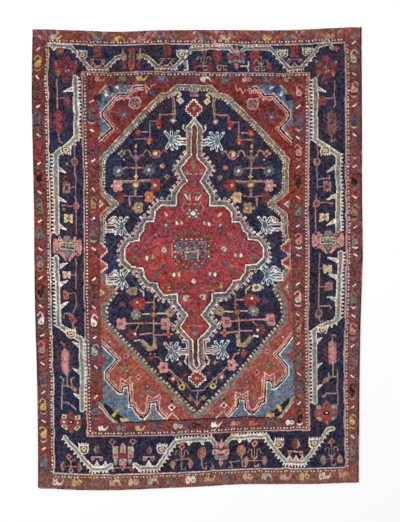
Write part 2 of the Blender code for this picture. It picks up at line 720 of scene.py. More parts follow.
def draw_guards(chart):
    """The small figures of the outer and the inner guard; the two yarns of each are given in turn."""
    draw_guard_side(chart, -236, 313, 42.7, 15, ("yy", "hk", "Ea", "mR", "kh", "ga", "ah", "ee", "ke",
            "wb", "pe", "Ee", "yt", "yl", "ah"), False)
    draw_guard_side(chart, 234, 322, 45.9, 14, ("lg", "pp", "Bl", "mp", "kg", "tt", "ew", "RR", "gw", "pe",
            "Ee", "ke", "yy", "ge"), True)
    draw_guard_row(chart, -332, -214.5, 29, ("wk", "ye", "Et", "ch", "ct", "lg", "Ee", "wh", "yt", "Eb",
            "ch", "lb", "pt", "yg", "wk", "pr"), (1.15, 1.3))
    draw_guard_row(chart, 332, -210, 31.5, ("cc", "mm", "be", "yy", "pp", "Bw", "RR", "be", "cq", "uu",
            "yy", "Bb", "RR", "yy"))
    draw_guard_side(chart, -156, 238, 44, 11, ("El", "mm", "hk", "tg", "El", "mR", "hB", "wg", "lE", "Rh",
            "Eb"), True)
    draw_guard_side(chart, 151, 229, 45, 11, ("Bl", "pp", "kh", "gE", "pw", "mR", "cw", "tt", "gE", "Be",
            "kw"), False)
    chart.stamp(BIRD, 151, 252, "pR", flip_x=True, scale=(1.1, 1.15))
    draw_guard_row(chart, -251, -146, 28.3, ("ww", "el", "yy", "Bg", "lg", "kw", "ww", "pe", "oR", "al",
            "ww"))
    draw_guard_row(chart, 271, -143, 31, ("pp", "gg", "yt", "be", "RR", "wk", "Ee", "pR", "Eh", "tt"))


def draw_bottom_border(chart):
    """Toothed leaves with cups, and candles, palmettes, flowers and plants between them."""
    toothed_band(chart, [(-205, -266), (-162, -311), (-141, -311), (-133, -306)], "lew", 3.5,
            ((0, -1), (1, -1), (2, -1)))
    toothed_band(chart, [(-97, -306), (-88, -311), (-63, -312), (-36, -272), (18, -271), (26, -281)],
            "lew", 3.5, ((0, -1), (1, -1), (2, -1), (3, 1)))
    toothed_band(chart, [(40, -280), (49, -271), (101, -271), (134, -311), (162, -311), (195, -262),
            (203, -261)], "lew", 3.5, ((1, 1), (2, -1), (3, -1), (4, -1)))
    for left, right in ((-158, -143), (-86, -66), (137, 159)):
        chart.line([(left, -311), (right, -311)], "q", 2.6)
    for x in (-155, -142, -76, 139, 149, 159):
        peak(chart, x, -307.5, 3.6, 6.5, "P" if x > 0 else "l")
    for x in (-14.6, 5.5, 62, 77):
        peak(chart, x, -275, 2.4, -4.5, "e")
    for x, y in ((-175, -282), (-55, -282.5), (123, -281.5), (175, -281)):
        chart.stamp(CUP, x, y, scale=(0.94, 1.15))
    for x, y, yarns, scale in ((-155, -283, "ehR", (1, 0.9)), (-75.5, -284, "Rhe", (1, 0.9)),
            (148, -284, "Rht", (1.35, 1.2))):
        chart.stamp(CANDLE, x, y, yarns, scale=scale)
        scroll(chart, x, y - 11, 8.6 * scale[0], "p" if x > 0 else "P")
    chart.stamp(CORNER_ROSETTE, -195, -243, "rcg")
    chart.stamp(CORNER_ROSETTE, 193, -237, "rec", scale=(1.12, 1.12))
    for side in (-1, 1):
        x = -115.8 + side * 16
        chart.line([(x, -275), (x - side * 2, -279)], "P", 1.8)
        repeat(chart.diamond, (x, -271.5, 5.4, 5, "P"), (x, -271.5, 3.2, 3, "k"))
    chart.stamp(STACKED_PALMETTE, -115.8, -294, scale=(1, 1.25))
    chart.stamp(CROWNED_PALMETTE, 34.5, -294, scale=(1.1, 1.5))
    for x in (4.6, 66):
        chart.line([(x, -298), (x + 1, -315), (x + 6, -316), (x + 7, -312)], "t", 1.8)
        chart.stamp(LOZENGE, x, -293, "oroo")
        repeat(chart.diamond, (x, -292, 3.8, 7.6, "p"), (x, -292, 2.2, 5.6, "g"))
    repeat(chart.line, ([(8, -308), (21, -307)], "u", 1.6), ([(20, -310), (22, -316), (18, -316)], "P",
            1.6), ([(47, -307), (63, -307)], "e", 1.8), ([(50, -309), (52, -315), (47, -316)], "P", 1.6))
    plant(chart, -25.6, -315.5, -300, -281, 5.4, "qpr", "oqe", (13, 14), 7)
    plant(chart, 85.5, -316, -307.5, -282, 5.4, "tpR", "oqe", (12, 15))
    plant(chart, 201.5, -316, -306.5, -281, 5.8, "qor", "oqe", (13, 11.5), 1)
    x, y = -195, -309
    chart.line([(x - 12, y), (x + 12, y)], "o", 2)
    chart.stamp(FAN, x + 13, y, "roe")
    chart.stamp(FAN, x - 13, y, "roe", flip_x=True)
    chart.line([(x - 4, y + 12), (x, y + 7), (x, y)], "P", 1.6)
    chart.line([(x + 5, y + 11), (x, y + 7)], "P", 1.6)
    repeat(chart.diamond, (x - 3, y + 14.5, 5, 5, "o"), (x - 3, y + 14.5, 2.4, 2.4, "k"),
            (x + 6, y + 11, 3, 3, "r"), (x, y - 6, 4.4, 4, "P"), (x, y - 6, 2.4, 2.2, "n"))


def ring_flower(chart, x, y, low):
    chart.line([(x, y), (x + 1, low), (x + 5, low), (x + 6, low + 3)], "t", 1.7)
    chart.stamp(LOZENGE, x, y, "mmRg", scale=(1.1, 1.1))


def corner_rosette(chart, x, y, yarns):
    """A broad flower of rounded petals that points down to its stem."""
    petal, bright, dark, shade, dot = yarns
    for dx, dy, wide, tall, yarn in ((0, 13, 6, 7.5, dark), (-10.5, 7, 7, 6, petal),
            (10.5, 6, 7, 6, petal), (-9.5, -3.5, 6, 5.5, bright), (9.5, -4.5, 6, 5.5, dark),
            (0, -13, 6, 8, shade), (0, 0, 6.5, 10, bright), (0, 1, 3, 8, dark)):
        for grown, ink in ((1.2, "n"), (0, yarn)):
            chart.shape(oval(x + dx, y + dy, wide + grown, tall + grown, 16), ink)
    for dx, dy, yarn in ((-11, 7, shade), (11, 6, shade), (-10, -4, "g"), (10, -5, "g"), (0, 3, "g"),
            (0, -3, "e"), (-15, 11, dot), (15, 10, dot), (-12, -9, "g"), (12, -9, "l"), (0, -14, "u"),
            (0, 14, "m"), (4, -2, "P"), (-6, 1, "h")):
        chart.diamond(x + dx, y + dy, 2.0, 2.2, yarn)


def draw_top_border(chart):
    """Toothed leaves with cups, blocks with scrolls, two rosettes, and flowers between the leaves."""
    for path, teeth in (
            ([(-217, 319), (-188, 318), (-160, 288), (-135, 288), (-120, 304), (-114, 305)],
             ((0, 1), (1, -1), (2, -1), (3, -1))),
            ([(-82, 305), (-75, 304), (-59, 288), (-33, 288), (-8, 316), (48, 317), (53, 312)],
             ((1, -1), (2, -1), (3, -1), (4, 1))),
            ([(67, 314), (70, 317), (109, 317), (137, 287), (155, 288), (182, 319), (198, 321), (202, 315)],
             ((1, 1), (2, -1), (3, -1), (4, -1), (5, 1)))):
        toothed_band(chart, path, "hew", 2.9, teeth, 5, 2.4, 1.1)
    for x, y in ((-171, 308), (-23, 308.5), (126, 309), (164, 311)):
        chart.stamp(CUP, x, y, scale=(0.98, 0.98))
    for x in (-147.5, -44.5, 144.5):
        repeat(chart.box, (x - 6.5, x - 0.5, 303, 320, "h"), (x - 0.5, x + 6, 304, 320, "m"))
        mottle(chart, x - 7, x + 7, 302, 320, "mmRrm", "m", 4, 3)
        scroll(chart, x, 300.5, 11, "P" if x > 0 else "t")
    for x in (-154, -140, -53, -40, 145):
        peak(chart, x, 290, 3.6, 5.5, "n", "P")
    corner_rosette(chart, -194.6, 284, "mrSRe")
    corner_rosette(chart, 192, 285, "RSmue")
    chart.stamp(STAR_FLOWER, -204, 310, "rro")
    chart.line([(-217, 318), (-213, 312), (-209, 316)], "w", 1.6)
    repeat(chart.diamond, (208.5, 314, 5.4, 5.4, "r"), (208.5, 314, 2, 2, "P"))
    # flowers between the leaves
    chart.stamp(SPADE_PALMETTE, -98, 301, scale=(0.94, 1.3))
    for side in (-1, 1):
        chart.line([(-98 + side * 13, 316), (-98 + side * 13, 307)], "t", 1.5)
    chart.stamp(TOP_PALMETTE, 58, 302.5, scale=(1, 1.28))
    chart.line([(-15, 297), (-15, 285), (-20, 284)], "w", 1.6)
    chart.shape([(-21, 296), (-16, 297), (-16, 287), (-20, 288)], "e")
    for x in (29.3, 85):
        ring_flower(chart, x, 305, 285)
    repeat(chart.line, ([(30, 291), (44, 291)], "t", 1.7), ([(39, 291), (39, 286), (43, 286)], "t", 1.5),
            ([(66, 291), (76, 291), (76, 297), (76, 284)], "c", 1.7))
    plant(chart, 9.5, 285, 291, 310, 4.6, "thR", "rmu", (12, 10))
    plant(chart, 94.5, 285, 290.5, 304, 2, "ttt", "rmu", (12, 13))


def draw_left_border(chart):
    """Two long toothed leaves with thorns round the side flower, and ferns and beaded stems."""
    # upper stem, bud and fern
    repeat(chart.line, ([(-207, 268), (-207, 226)], "t", 1.8), ([(-207, 240), (-198, 240)], "q", 1.5))
    chart.stamp(STAR_FLOWER, -192, 236, "umq", scale=(1.1, 1.7))
    fern(chart, -206, 205, 19, "m", "u", "u", 5)
    chart.line([(-206, 187), (-205, 177), (-201, 175)], "q", 1.8)
    # the leaf that climbs from the side flower to the corner
    thorn(chart, (-197, 251), (-184, 258))
    for tip in (129, 86, 45):
        thorn(chart, (-197, tip), (-207, tip + 8))
    toothed_band(chart, [(-180, 272), (-179, 183), (-211, 156), (-211, 40)], "lew", 4.1,
                 ((0, 1), (1, 1), (2, -1)), 5.4, 3.4, 1.6)
    chart.stamp(CUP, -195, 164, flip_y=True, scale=(0.9, 1))
    # the beaded stem
    chart.line([(-183, 178), (-182, 40)], "q", 1.8)
    bead(chart, -183, 146, 5.2, 6.4, "q", "R")
    bead(chart, -182, 81, 5.2, 6.4, "q", "m")
    chart.line([(-182, 108), (-191, 108)], "q", 1.5)
    chart.stamp(STAR_FLOWER, -196, 108, "qRk", scale=(1.1, 1.6))
    bead(chart, -197, 120, 4, 4.4, "R", "k")
    chart.line([(-182, 81), (-203, 81)], "q", 1.5)
    bead(chart, -200, 75, 2.4, 2.6, "P", "n")
    notched_flower(chart, -193, 62, 6.5, "c", "h")
    chart.diamond(-194, 143, 2, 2, "P")
    # the side flower and the lower leaf
    for tip in (-4, -31, -64):
        thorn(chart, (-196, tip), (-206, tip - 9))
    for tip in (-122, -162, -199):
        thorn(chart, (-189, tip), (-179, tip - 9))
    toothed_band(chart, [(-212, 2), (-210, -98), (-176, -119), (-177, -222)], "lew", 4.1,
                 ((0, -1), (2, 1)), 5.4, 3.4, 1.6)
    chart.stamp(SIDE_PALMETTE, -195, 18, scale=(1, 1.22))
    chart.stamp(CUP, -191, -110, scale=(0.9, 1))
    repeat(chart.line, ([(-183, 3), (-183, -43)], "q", 1.8), ([(-183, -22), (-192, -22)], "q", 1.5))
    notched_flower(chart, -196, -22, 5.5, "c", "o")
    bead(chart, -198, -53, 4.5, 8.5, "q", "m")
    chart.line([(-194, -50), (-183, -50), (-183, -68), (-188, -78)], "q", 1.8)
    chart.line([(-202, -86), (-201, -80), (-193, -80), (-192, -84)], "t", 1.8)
    chart.shape([(-196, -82), (-189, -80), (-182, -90), (-189, -98)], "q")
    chart.shape([(-194, -84), (-189, -83), (-185, -90), (-189, -95)], "r")
    chart.line([(-187, -98), (-187, -103), (-183, -102)], "q", 1.7)
    # the lower fern on its stem
    chart.line([(-207, -124), (-202, -125), (-201, -136)], "q", 1.7)
    fern(chart, -201, -152, 20, "p", "q", "u", 5)
    chart.line([(-200, -170), (-200, -186)], "t", 1.8)
    chart.line([(-208, -223), (-208, -188), (-193, -188)], "t", 2)
    for side in (-1, 1):
        chart.line([(-200 + side * 7, -188), (-200 + side * 6, -178), (-200 + side * 10, -175)], "t", 1.8)
    chart.shape([(-197, -188), (-189, -187), (-183, -193), (-187, -197), (-192, -195)], "q")
    chart.line([(-208, -213), (-198, -212), (-190, -219)], "q", 1.9)
    chart.line([(-193, -215), (-187, -221)], "p", 2.6)


def draw_right_border(chart):
    """The like of the left border, with its own stems and flowers."""
    chart.line([(205, 268), (205, 232), (202, 228)], "q", 1.8)
    chart.line([(205, 242), (192, 242)], "q", 1.5)
    chart.stamp(STAR_FLOWER, 186, 238, "rmu", scale=(1.1, 1.5))
    fern(chart, 200.5, 204, 20, "r", "E", "u", 4)
    chart.line([(200, 185), (199, 177), (204, 178)], "q", 1.8)
    thorn(chart, (191, 252), (179, 261))
    for tip in (131, 90, 51):
        thorn(chart, (194, tip), (205, tip + 9))
    toothed_band(chart, [(176, 270), (176, 180), (210, 156), (210, 42)], "lew", 4.1,
                 ((0, -1), (2, 1)), 5.4, 3.4, 1.6)
    chart.stamp(CUP, 191, 163, flip_y=True, scale=(0.9, 1))
    chart.line([(179, 178), (178, 40)], "q", 1.8)
    for y in (147, 84):
        bead(chart, 178.5, y, 5.2, 6.4, "q", "R")
    chart.line([(179, 121), (198, 121), (198, 125)], "q", 1.7)
    chart.line([(179, 110), (188, 110)], "q", 1.5)
    chart.stamp(STAR_FLOWER, 194, 110, "qmu", scale=(1.1, 1.5))
    chart.line([(182, 85), (199, 85)], "q", 1.5)
    bead(chart, 200, 83, 2.8, 3, "q", "n")
    notched_flower(chart, 190, 64, 6.5, "c", "h")
    for tip in (-2, -27, -61):
        thorn(chart, (195, tip), (207, tip - 8))
    for tip in (-123, -161, -193):
        thorn(chart, (187, tip), (178, tip - 9))
    toothed_band(chart, [(212, 5), (211, -93), (206, -99), (184, -107), (176, -113), (176, -219)], "lew",
            4.1, ((0, 1), (2, 1), (4, -1)), 5.4, 3.4, 1.6)
    chart.stamp(SIDE_PALMETTE, 194, 23, scale=(1.1, 1.22))
    chart.stamp(CUP, 189, -110, scale=(0.9, 0.9))
    repeat(chart.line, ([(182, 5), (182, -80)], "q", 1.8), ([(182, -19), (190, -19)], "q", 1.5))
    notched_flower(chart, 194, -20, 6, "c", "y")
    chart.line([(182, -46), (190, -46)], "q", 1.5)
    chart.stamp(STAR_FLOWER, 196, -46, "qro", scale=(1.1, 1.4))
    chart.line([(182, -75), (199, -75), (200, -79)], "P", 1.7)
    bead(chart, 182.5, -86, 6, 7, "q", "R")
    chart.line([(183, -93), (185, -99), (189, -97)], "q", 1.6)
    chart.line([(208, -121), (203, -119), (203, -128)], "q", 1.7)
    fern(chart, 203, -146, 20, "p", "q", "u", 4)
    repeat(chart.line, ([(204, -164), (204, -183)], "t", 1.8),
            ([(197, -176), (198, -183), (208, -183)], "t", 2), ([(211, -173), (211, -224)], "q", 2))
    chart.shape([(189, -184), (200, -180), (198, -189), (188, -192)], "q")
    chart.line([(211, -207), (196, -207)], "q", 1.8)
    chart.shape([(198, -205), (193, -205), (186, -213), (191, -214)], "q")


def shifted(points, distance):
    """The same bent line moved sideways; a positive distance moves it to the left of its direction."""
    moved = []
    for index, (x, y) in enumerate(points):
        before = points[max(index - 1, 0)]
        after = points[min(index + 1, len(points) - 1)]
        normals = []
        for (xa, ya), (xb, yb) in ((before, (x, y)), ((x, y), after)):
            length = math.hypot(xb - xa, yb - ya)
            if length > 0:
                normals.append((-(yb - ya) / length, (xb - xa) / length))
        nx = sum(n[0] for n in normals) / len(normals)
        ny = sum(n[1] for n in normals) / len(normals)
        square = nx * nx + ny * ny
        moved.append((x + nx * distance / max(square, 0.3), y + ny * distance / max(square, 0.3)))
    return moved


def mirrored(points, side):
    """Points given as distances from the axis, set to its left (-1) or right (1)."""
    return [(AXIS + side * x, y) for x, y in points]


def loops(chart, points, distance, yarns, pitch, size, heart=None):
    """A row of little loops beside a bent line."""
    path = shifted(points, distance)
    number = 0
    for (xa, ya), (xb, yb) in zip(path, path[1:]):
        length = math.hypot(xb - xa, yb - ya)
        count = max(int(length // pitch), 1)
        for step in range(count):
            share = (step + 0.5) / count
            x, y = xa + (xb - xa) * share, ya + (yb - ya) * share
            chart.diamond(x, y, size * 1.3, size * 1.3, yarns[number % len(yarns)])
            if heart:
                chart.box(x - size * 0.4, x + size * 0.4, y - size * 0.4, y + size * 0.4, heart)
            number += 1


def draw_corners(chart):
    """The red corners, darker above, and the light blue beyond their scalloped outlines."""
    chart.box(GROUND_LEFT, GROUND_RIGHT, GROUND_LOW, 0, "s")
    chart.box(GROUND_LEFT, GROUND_RIGHT, 0, GROUND_HIGH, "S")
    reach, foot = UPPER_CORNER[0]
    _, head = LOWER_CORNER[0]
    for side in (-1, 1):
        edge = AXIS + side * reach
        span = sorted((AXIS + side * 40, edge))
        # light blue corners behind the scalloped outline
        upper = [(x + 3, y) for x, y in mirrored(UPPER_CORNER, side)]
        chart.shape(upper + [(upper[-1][0], GROUND_HIGH), (edge, GROUND_HIGH), (edge, foot)], "b")
        lower = mirrored(LOWER_CORNER, side)
        chart.shape(lower + [(edge, GROUND_LOW), (edge, head)], "b")
        mottle(chart, *span, foot, GROUND_HIGH, DUSKY_BLUES, "b", 9, 4)
        mottle(chart, *span, GROUND_LOW, head, BLUES, "b", 9, 4)
        for points, turn, lines in ((upper, side, DUSKY_LINES), (lower, -side, CORNER_LINES)):
            for distance, yarn, width in lines:
                chart.line(shifted(points, turn * distance), yarn, width)


def draw_field(chart):
    """The dark blue ground, the looped band round it, and the half diamonds at its sides."""
    outline = [mirrored(FIELD_TOP + FIELD_LOW, side) for side in (-1, 1)]
    chart.shape(outline[0] + outline[1][::-1], "n")
    for side in (-1, 1):
        chart.shape(mirrored([(120, 28), (142, 28), (142, -18), (120, -18)], side), "n")
    mottle(chart, GROUND_LEFT, GROUND_RIGHT, -50, 32, "nNNn", "n", 60, 3)
    for side in (-1, 1):
        for points in (mirrored(FIELD_TOP, side), mirrored(FIELD_LOW, side)):
            pitch, size = (4.2, 1.5) if points[0][1] > 0 else (6.2, 1.9)
            loops(chart, points, -side * 5.2, "cctictlc", pitch, size)
            repeat(chart.line, (points, "c" if points[0][1] > 0 else "t", 6.6), (points, "E", 4.6),
                    (points, "e", 2.8))
        # stepped half diamonds where the field meets the guard
        for middle, tall in ((16, 11), (-8, 8)):
            for yarn, grown in (("i", 1.6), ("s", 0)):
                for step in range(4):
                    half = tall * (1 - step / 4) + grown
                    reach = 141 - 3 * step - grown
                    chart.shape(mirrored([(144, middle - half), (144, middle + half),
                            (reach, middle + half), (reach, middle - half)], side), yarn)
            chart.line(mirrored([(143.5, middle - tall), (143.5, middle + tall)], side), "i", 1.6)


def mottle(chart, x_low, x_high, y_low, y_high, reds, only, long, short):
    """Slanting patches of other yarns within one, as short ends of yarn were used up."""
    random = numpy.random.RandomState(SEED + 4)
    rows, columns, x, y = chart.window(x_low, x_high, y_low, y_high)
    along = x + 0 * y if x_high - x_low > y_high - y_low else y + 0 * x
    lean = numpy.where(along // 30 % 2 < 1, 1, -1)
    first = ((x + lean * y) // short).astype(int) % 97
    second = ((x - lean * y) // long).astype(int) % 97
    codes = numpy.array([LETTERS.index(yarn) for yarn in reds])
    chosen = chart.yarns[rows, columns] == LETTERS.index(only)
    mixed = codes[random.randint(0, len(codes), (97, 97))[first, second]]
    chart.yarns[rows, columns] = numpy.where(chosen, mixed, chart.yarns[rows, columns])


def draw_guard_grounds(chart):
    """The reds of both guards, over whatever ran past them, and dark lines beside the inner one."""
    edge_x, edge_y = COLUMNS / 2, ROWS / 2
    for x_low, x_high, y_low, y_high in ((INNER_LEFT, GROUND_LEFT, INNER_LOW, INNER_HIGH),
            (GROUND_RIGHT, INNER_RIGHT, INNER_LOW, INNER_HIGH), (INNER_LEFT, INNER_RIGHT, INNER_LOW,
            GROUND_LOW), (INNER_LEFT, INNER_RIGHT, GROUND_HIGH, INNER_HIGH),
            (-edge_x, OUTER_LEFT - 5, -edge_y, edge_y), (OUTER_RIGHT + 5, edge_x, -edge_y, edge_y),
            (-edge_x, edge_x, -edge_y, OUTER_LOW - 5), (-edge_x, edge_x, OUTER_HIGH + 5, edge_y)):
        chart.box(x_low, x_high, y_low, y_high, "R")
        mottle(chart, x_low, x_high, y_low, y_high, GUARD_REDS, "R", 15, 6)
    mottle(chart, -edge_x, edge_x, OUTER_HIGH + 5, edge_y, "RqRPRhqRqRuRP", "R", 15, 5)
    dotted_frame(chart, INNER_LEFT, INNER_RIGHT, INNER_LOW, INNER_HIGH, -3.5, False)
    for low, high in ((GROUND_LOW, -118), (178, GROUND_HIGH)):
        chart.line([(GROUND_RIGHT + 1, low), (GROUND_RIGHT + 1, high)], "h", 1.2)
    chart.line([(GROUND_LEFT, GROUND_LOW), (GROUND_RIGHT, GROUND_LOW)], "k", 1.6)


def draw_medallion(chart):
    """The crimson ground of the medallion and its shafts, in grey and ivory lines with loops."""
    left, right = mirrored(MEDALLION, -1), mirrored(MEDALLION, 1)
    for side, points in ((-1, left), (1, right)):
        loops(chart, points[1:-2], side * 10.2, "iwwlwiw", 6.6, 2.1, "n")
        chart.line(shifted(points, side * 3.6), "i", 8.6)
    for side, points in ((-1, left), (1, right)):
        repeat(chart.line, (shifted(points, side * 3.8), "e", 5.6), (shifted(points, side * 3.0), "E", 1.6))
    chart.shape(left + right[::-1], "m")
    mottle(chart, AXIS - 110, AXIS + 110, -125, 160, CRIMSONS, "m", 26, 9)
    mottle(chart, AXIS - 145, AXIS + 145, -240, 262, GREYS, "e", 14, 6)
    repeat(chart.box, (AXIS - 3, AXIS + 3, 157, 205, "h"), (AXIS - 3, AXIS + 3, -160, -124, "R"))
    for side, points in ((-1, left), (1, right)):
        repeat(chart.line, (shifted(points, -side * 1.8), "k", 1.4), (points, "w", 1.8))


class Half:
    """One half of the chart, measured outward from the axis, so a figure is drawn alike on both sides."""

    def __init__(self, chart, side):
        self.chart = chart
        self.side = side

    def at(self, points):
        return mirrored(points, self.side)

    def line(self, points, yarn, width):
        self.chart.line(self.at(points), yarn, width)

    def shape(self, points, yarn):
        self.chart.shape(self.at(points), yarn)

    def disc(self, x, y, half_width, half_height, yarn):
        self.shape(oval(x, y, half_width, half_height, 24), yarn)

    def diamond(self, x, y, half_width, half_height, yarn):
        self.chart.diamond(AXIS + self.side * x, y, half_width, half_height, yarn)

    def dots(self, places, yarn, half=1.5):
        for x, y in places:
            self.disc(x, y, half, half, yarn)

    def blossom(self, x, y, radius, yarns, tip=1, squash=1.0):
        """A lobed flower: petals, then a ring and a heart. tip is the side of its pointed petal."""
        petals, ring, heart = yarns
        for turn in (60, 125, 235, 300):
            angle = math.radians(turn)
            self.disc(x + tip * math.cos(angle) * radius * 0.6, y + math.sin(angle) * radius * 0.62
                    * squash, radius * 0.42, radius * 0.42 * squash, petals)
        self.disc(x, y, radius * 0.68, radius * 0.6 * squash, petals)
        self.shape([(x + tip * radius * 0.3, y + radius * 0.4), (x + tip * radius * 1.15,
                y + radius * 0.16), (x + tip * radius * 1.15, y - radius * 0.16),
                (x + tip * radius * 0.3, y - radius * 0.4)], petals)
        self.disc(x - tip * radius * 0.1, y, radius * 0.32, radius * 0.32, ring)
        self.disc(x - tip * radius * 0.1, y, radius * 0.19, radius * 0.19, heart)

    def star(self, x, y, radius, yarns):
        """A flower of thin rays round a heart."""
        rays, heart = yarns
        for step in range(8):
            angle = math.tau * (step + 0.5) / 8
            far_x, far_y = x + radius * 0.72 * math.cos(angle), y + radius * 0.72 * math.sin(angle)
            self.disc(far_x, far_y, radius * 0.27, radius * 0.27, rays)
        self.disc(x, y, radius * 0.56, radius * 0.56, rays)
        self.disc(x, y, radius * 0.34, radius * 0.34, "e")
        self.disc(x, y, radius * 0.22, radius * 0.22, heart)

    def crosslet(self, x, y, reach, yarn, heart):
        """Four dots round a fifth."""
        for dx, dy in ((reach, 0), (-reach, 0), (0, reach), (0, -reach)):
            self.disc(x + dx, y + dy, reach * 0.62, reach * 0.62, yarn)
        self.disc(x, y, reach * 0.55, reach * 0.55, heart)

    def comb_star(self, x, y, ends, core="B"):
        """A blue heart with long ivory loops round it."""
        for dx, dy in ends:
            far = (x + dx, y + dy)
            self.line([(x + dx * 0.2, y + dy * 0.2), far], "W", 4.4)
            self.line([(x + dx * 0.4, y + dy * 0.4), (x + dx * 0.92, y + dy * 0.92)], "n", 2)
        self.disc(x, y, 4.2, 7, "l")
        self.disc(x, y, 3.2, 6, core)

    def box(self, x_low, x_high, y_low, y_high, yarn):
        low, high = sorted((AXIS + self.side * x_low, AXIS + self.side * x_high))
        self.chart.box(low, high, y_low, y_high, yarn)


def draw_upper_tree(half, near_bud="p", wing="p", tall="m", bowl="o", low="o"):
    """Buds, a cup and flowers on crossing stems, above the arms of the medallion."""
    repeat(half.line, ([(27, 254), (29, 247), (29, 212)], "t", 1.6), ([(31.5, 247), (31.5, 214)], "q", 1.3))
    repeat(half.disc, (31, 208, 4.6, 3.6, near_bud), (31, 208, 1.6, 1.6, "w"))
    repeat(half.line, ([(31, 218), (51, 218), (51, 208)], "q", 1.7), ([(50, 216.4), (32, 216.4)], "R", 1.4))
    repeat(half.disc, (53, 204, 4.6, 6, "r"), (52, 200, 3.4, 4, "m"), (53, 197.5, 2, 2, "p"))
    repeat(half.line, ([(57, 207), (66, 207), (66, 183)], "q", 2.0), ([(70, 191), (80, 191)], "P", 1.8))
    repeat(half.disc, (84, 190.5, 5, 4.4, "s"), (84, 190.5, 2.2, 2, "o"), (67, 178, 5, 5, "r"),
            (67, 180, 2.6, 2.2, "o"), (67, 175, 1.8, 1.6, "p"))
    repeat(half.line, ([(72, 181), (88, 181)], "q", 1.8), ([(86, 181), (86, 160)], "u", 2.0))
    repeat(half.disc, (86, 171, 2.4, 3, "y"), (86, 163, 1.6, 2.2, "p"))
    # a cup with two bent arms
    half.shape([(95, 158), (86, 144), (76, 158), (80, 158), (86, 150), (91, 158)], "s")
    half.shape([(90, 151), (86, 160), (81, 151)], "b")
    half.line([(94, 156), (95, 163), (99, 165), (103, 163)], "t", 1.8)
    half.crosslet(108, 160, 3.6, "t", "R")
    half.line([(76, 156), (74, 162), (71, 165), (67, 163), (66, 157), (60, 152), (53, 153), (49, 160),
            (47, 164), (41, 161)], "q", 1.9)
    repeat(half.disc, (57, 159, 5.6, 4.6, bowl), (58, 158, 2.6, 3.2, "c"), (54, 158, 1.6, 2.6, "h"))
    half.dots(((105, 151),), "w", 1.4)
    # stars and flowers on crossing stems
    repeat(half.line, ([(86, 146), (86, 96)], "t", 1.8), ([(106, 138), (76, 138)], "P", 1.8))
    half.dots(((98, 138), (77, 138)), "s", 1.8)
    repeat(half.star, (113, 134, 8.5, "Ec"), (67, 134, 8.5, "Ew"))
    half.crosslet(86, 125, 2.2, "c", "s")
    repeat(half.disc, (47, 140, 3.6, 3.6, "o"), (49, 140, 1.4, 1.4, "c"))
    half.crosslet(39, 124, 2.5, "q", "R")
    repeat(half.line, ([(106, 119), (62, 119)], "P", 1.7), ([(106, 117), (62, 117)], "g", 1.2))
    repeat(half.disc, (86, 113, 7, 5.6, "h"), (86, 113.5, 4.6, 4, "t"), (86, 112, 2.6, 2.4, "c"))
    half.blossom(113, 112, 9.5, wing + "tw", tip=1)
    half.blossom(57, 112, 9.5, tall + "gc", tip=-1)
    repeat(half.line, ([(88, 106), (88, 96)], "b", 1.8), ([(102, 96), (76, 96)], "q", 2.0))
    half.blossom(108, 94, 8, "Rrr", tip=1)
    half.blossom(66, 94, 9, low + "sy", tip=-1)
    half.line([(95, 95), (95, 82)], "P", 1.6)
    half.blossom(82, 78, 9, "thc", tip=1)


def draw_lower_tree(half, first="t", spade="r", pink="p", gold="y"):
    """Flowers on a stem below the arms of the medallion, and a branch down to the foot of the field."""
    half.blossom(93, -46, 9, first + "gg", tip=1, squash=0.7)
    repeat(half.line, ([(83, -44), (77, -50), (77, -54)], "c", 1.6), ([(61, -55), (62, -118)], "t", 1.9),
            ([(73, -64), (62, -64)], "P", 1.7))
    half.shape([(100, -64), (88, -56), (76, -56), (75, -64), (76, -73), (84, -77)], spade)
    repeat(half.disc, (86, -63, 1.8, 1.8, "w"), (107, -65, 4.6, 3.6, "u"))
    half.crosslet(62, -71, 2.4, "q", "p")
    half.line([(78, -81), (44, -81)], "c", 1.7)
    half.star(88, -81, 8.4, "ec")
    repeat(half.disc, (62, -82, 5, 5, "h"), (62, -82, 3, 3, "o"))
    half.star(37, -80, 7.5, "tR")
    repeat(half.line, ([(104, -94), (92, -94), (50, -96)], "p", 2.2), ([(82, -94), (88, -102)], "t", 1.5))
    half.blossom(111, -94, 9.5, pink + "Rq", tip=-1)
    half.crosslet(73, -95, 2.2, "r", "p")
    half.blossom(44, -97, 9.5, pink + "Rq", tip=-1)
    half.line([(82, -111), (63, -111)], "P", 1.9)
    half.blossom(94, -110, 9, "RRh", tip=1)
    half.disc(90, -110, 1.9, 1.9, "w")
    half.line([(60, -113), (47, -113)], "p", 1.7)
    half.crosslet(40, -113, 4, "o", "r")
    half.shape([(85, -120), (78, -118), (67, -130), (63, -128), (63, -117), (58, -116), (57, -134),
            (71, -136)], "t")
    repeat(half.line, ([(84, -120), (72, -132)], "g", 1.5), ([(90, -120), (84, -119)], "w", 1.5))
    half.dots(((67, -140), (61, -140)), "l", 1.3)
    half.disc(67, -146, 4.4, 3.6, "r")
    half.line([(60, -144), (54, -146), (46, -158)], "P", 1.7)
    half.line([(40, -165), (20, -186)], "P", 1.7)
    half.blossom(48, -162, 9, pink + "qR", tip=1)
    half.crosslet(34, -179, 4, "s", "w")
    repeat(half.disc, (22, -192, 4.6, 4.6, gold), (22, -192, 1.6, 1.6, "k"))
    half.line([(27, -188), (28, -182), (22, -180)], "t", 1.8)
    repeat(half.crosslet, (24, -157, 2.4, "q", "p"), (17, -173, 1.8, "R", "s"))


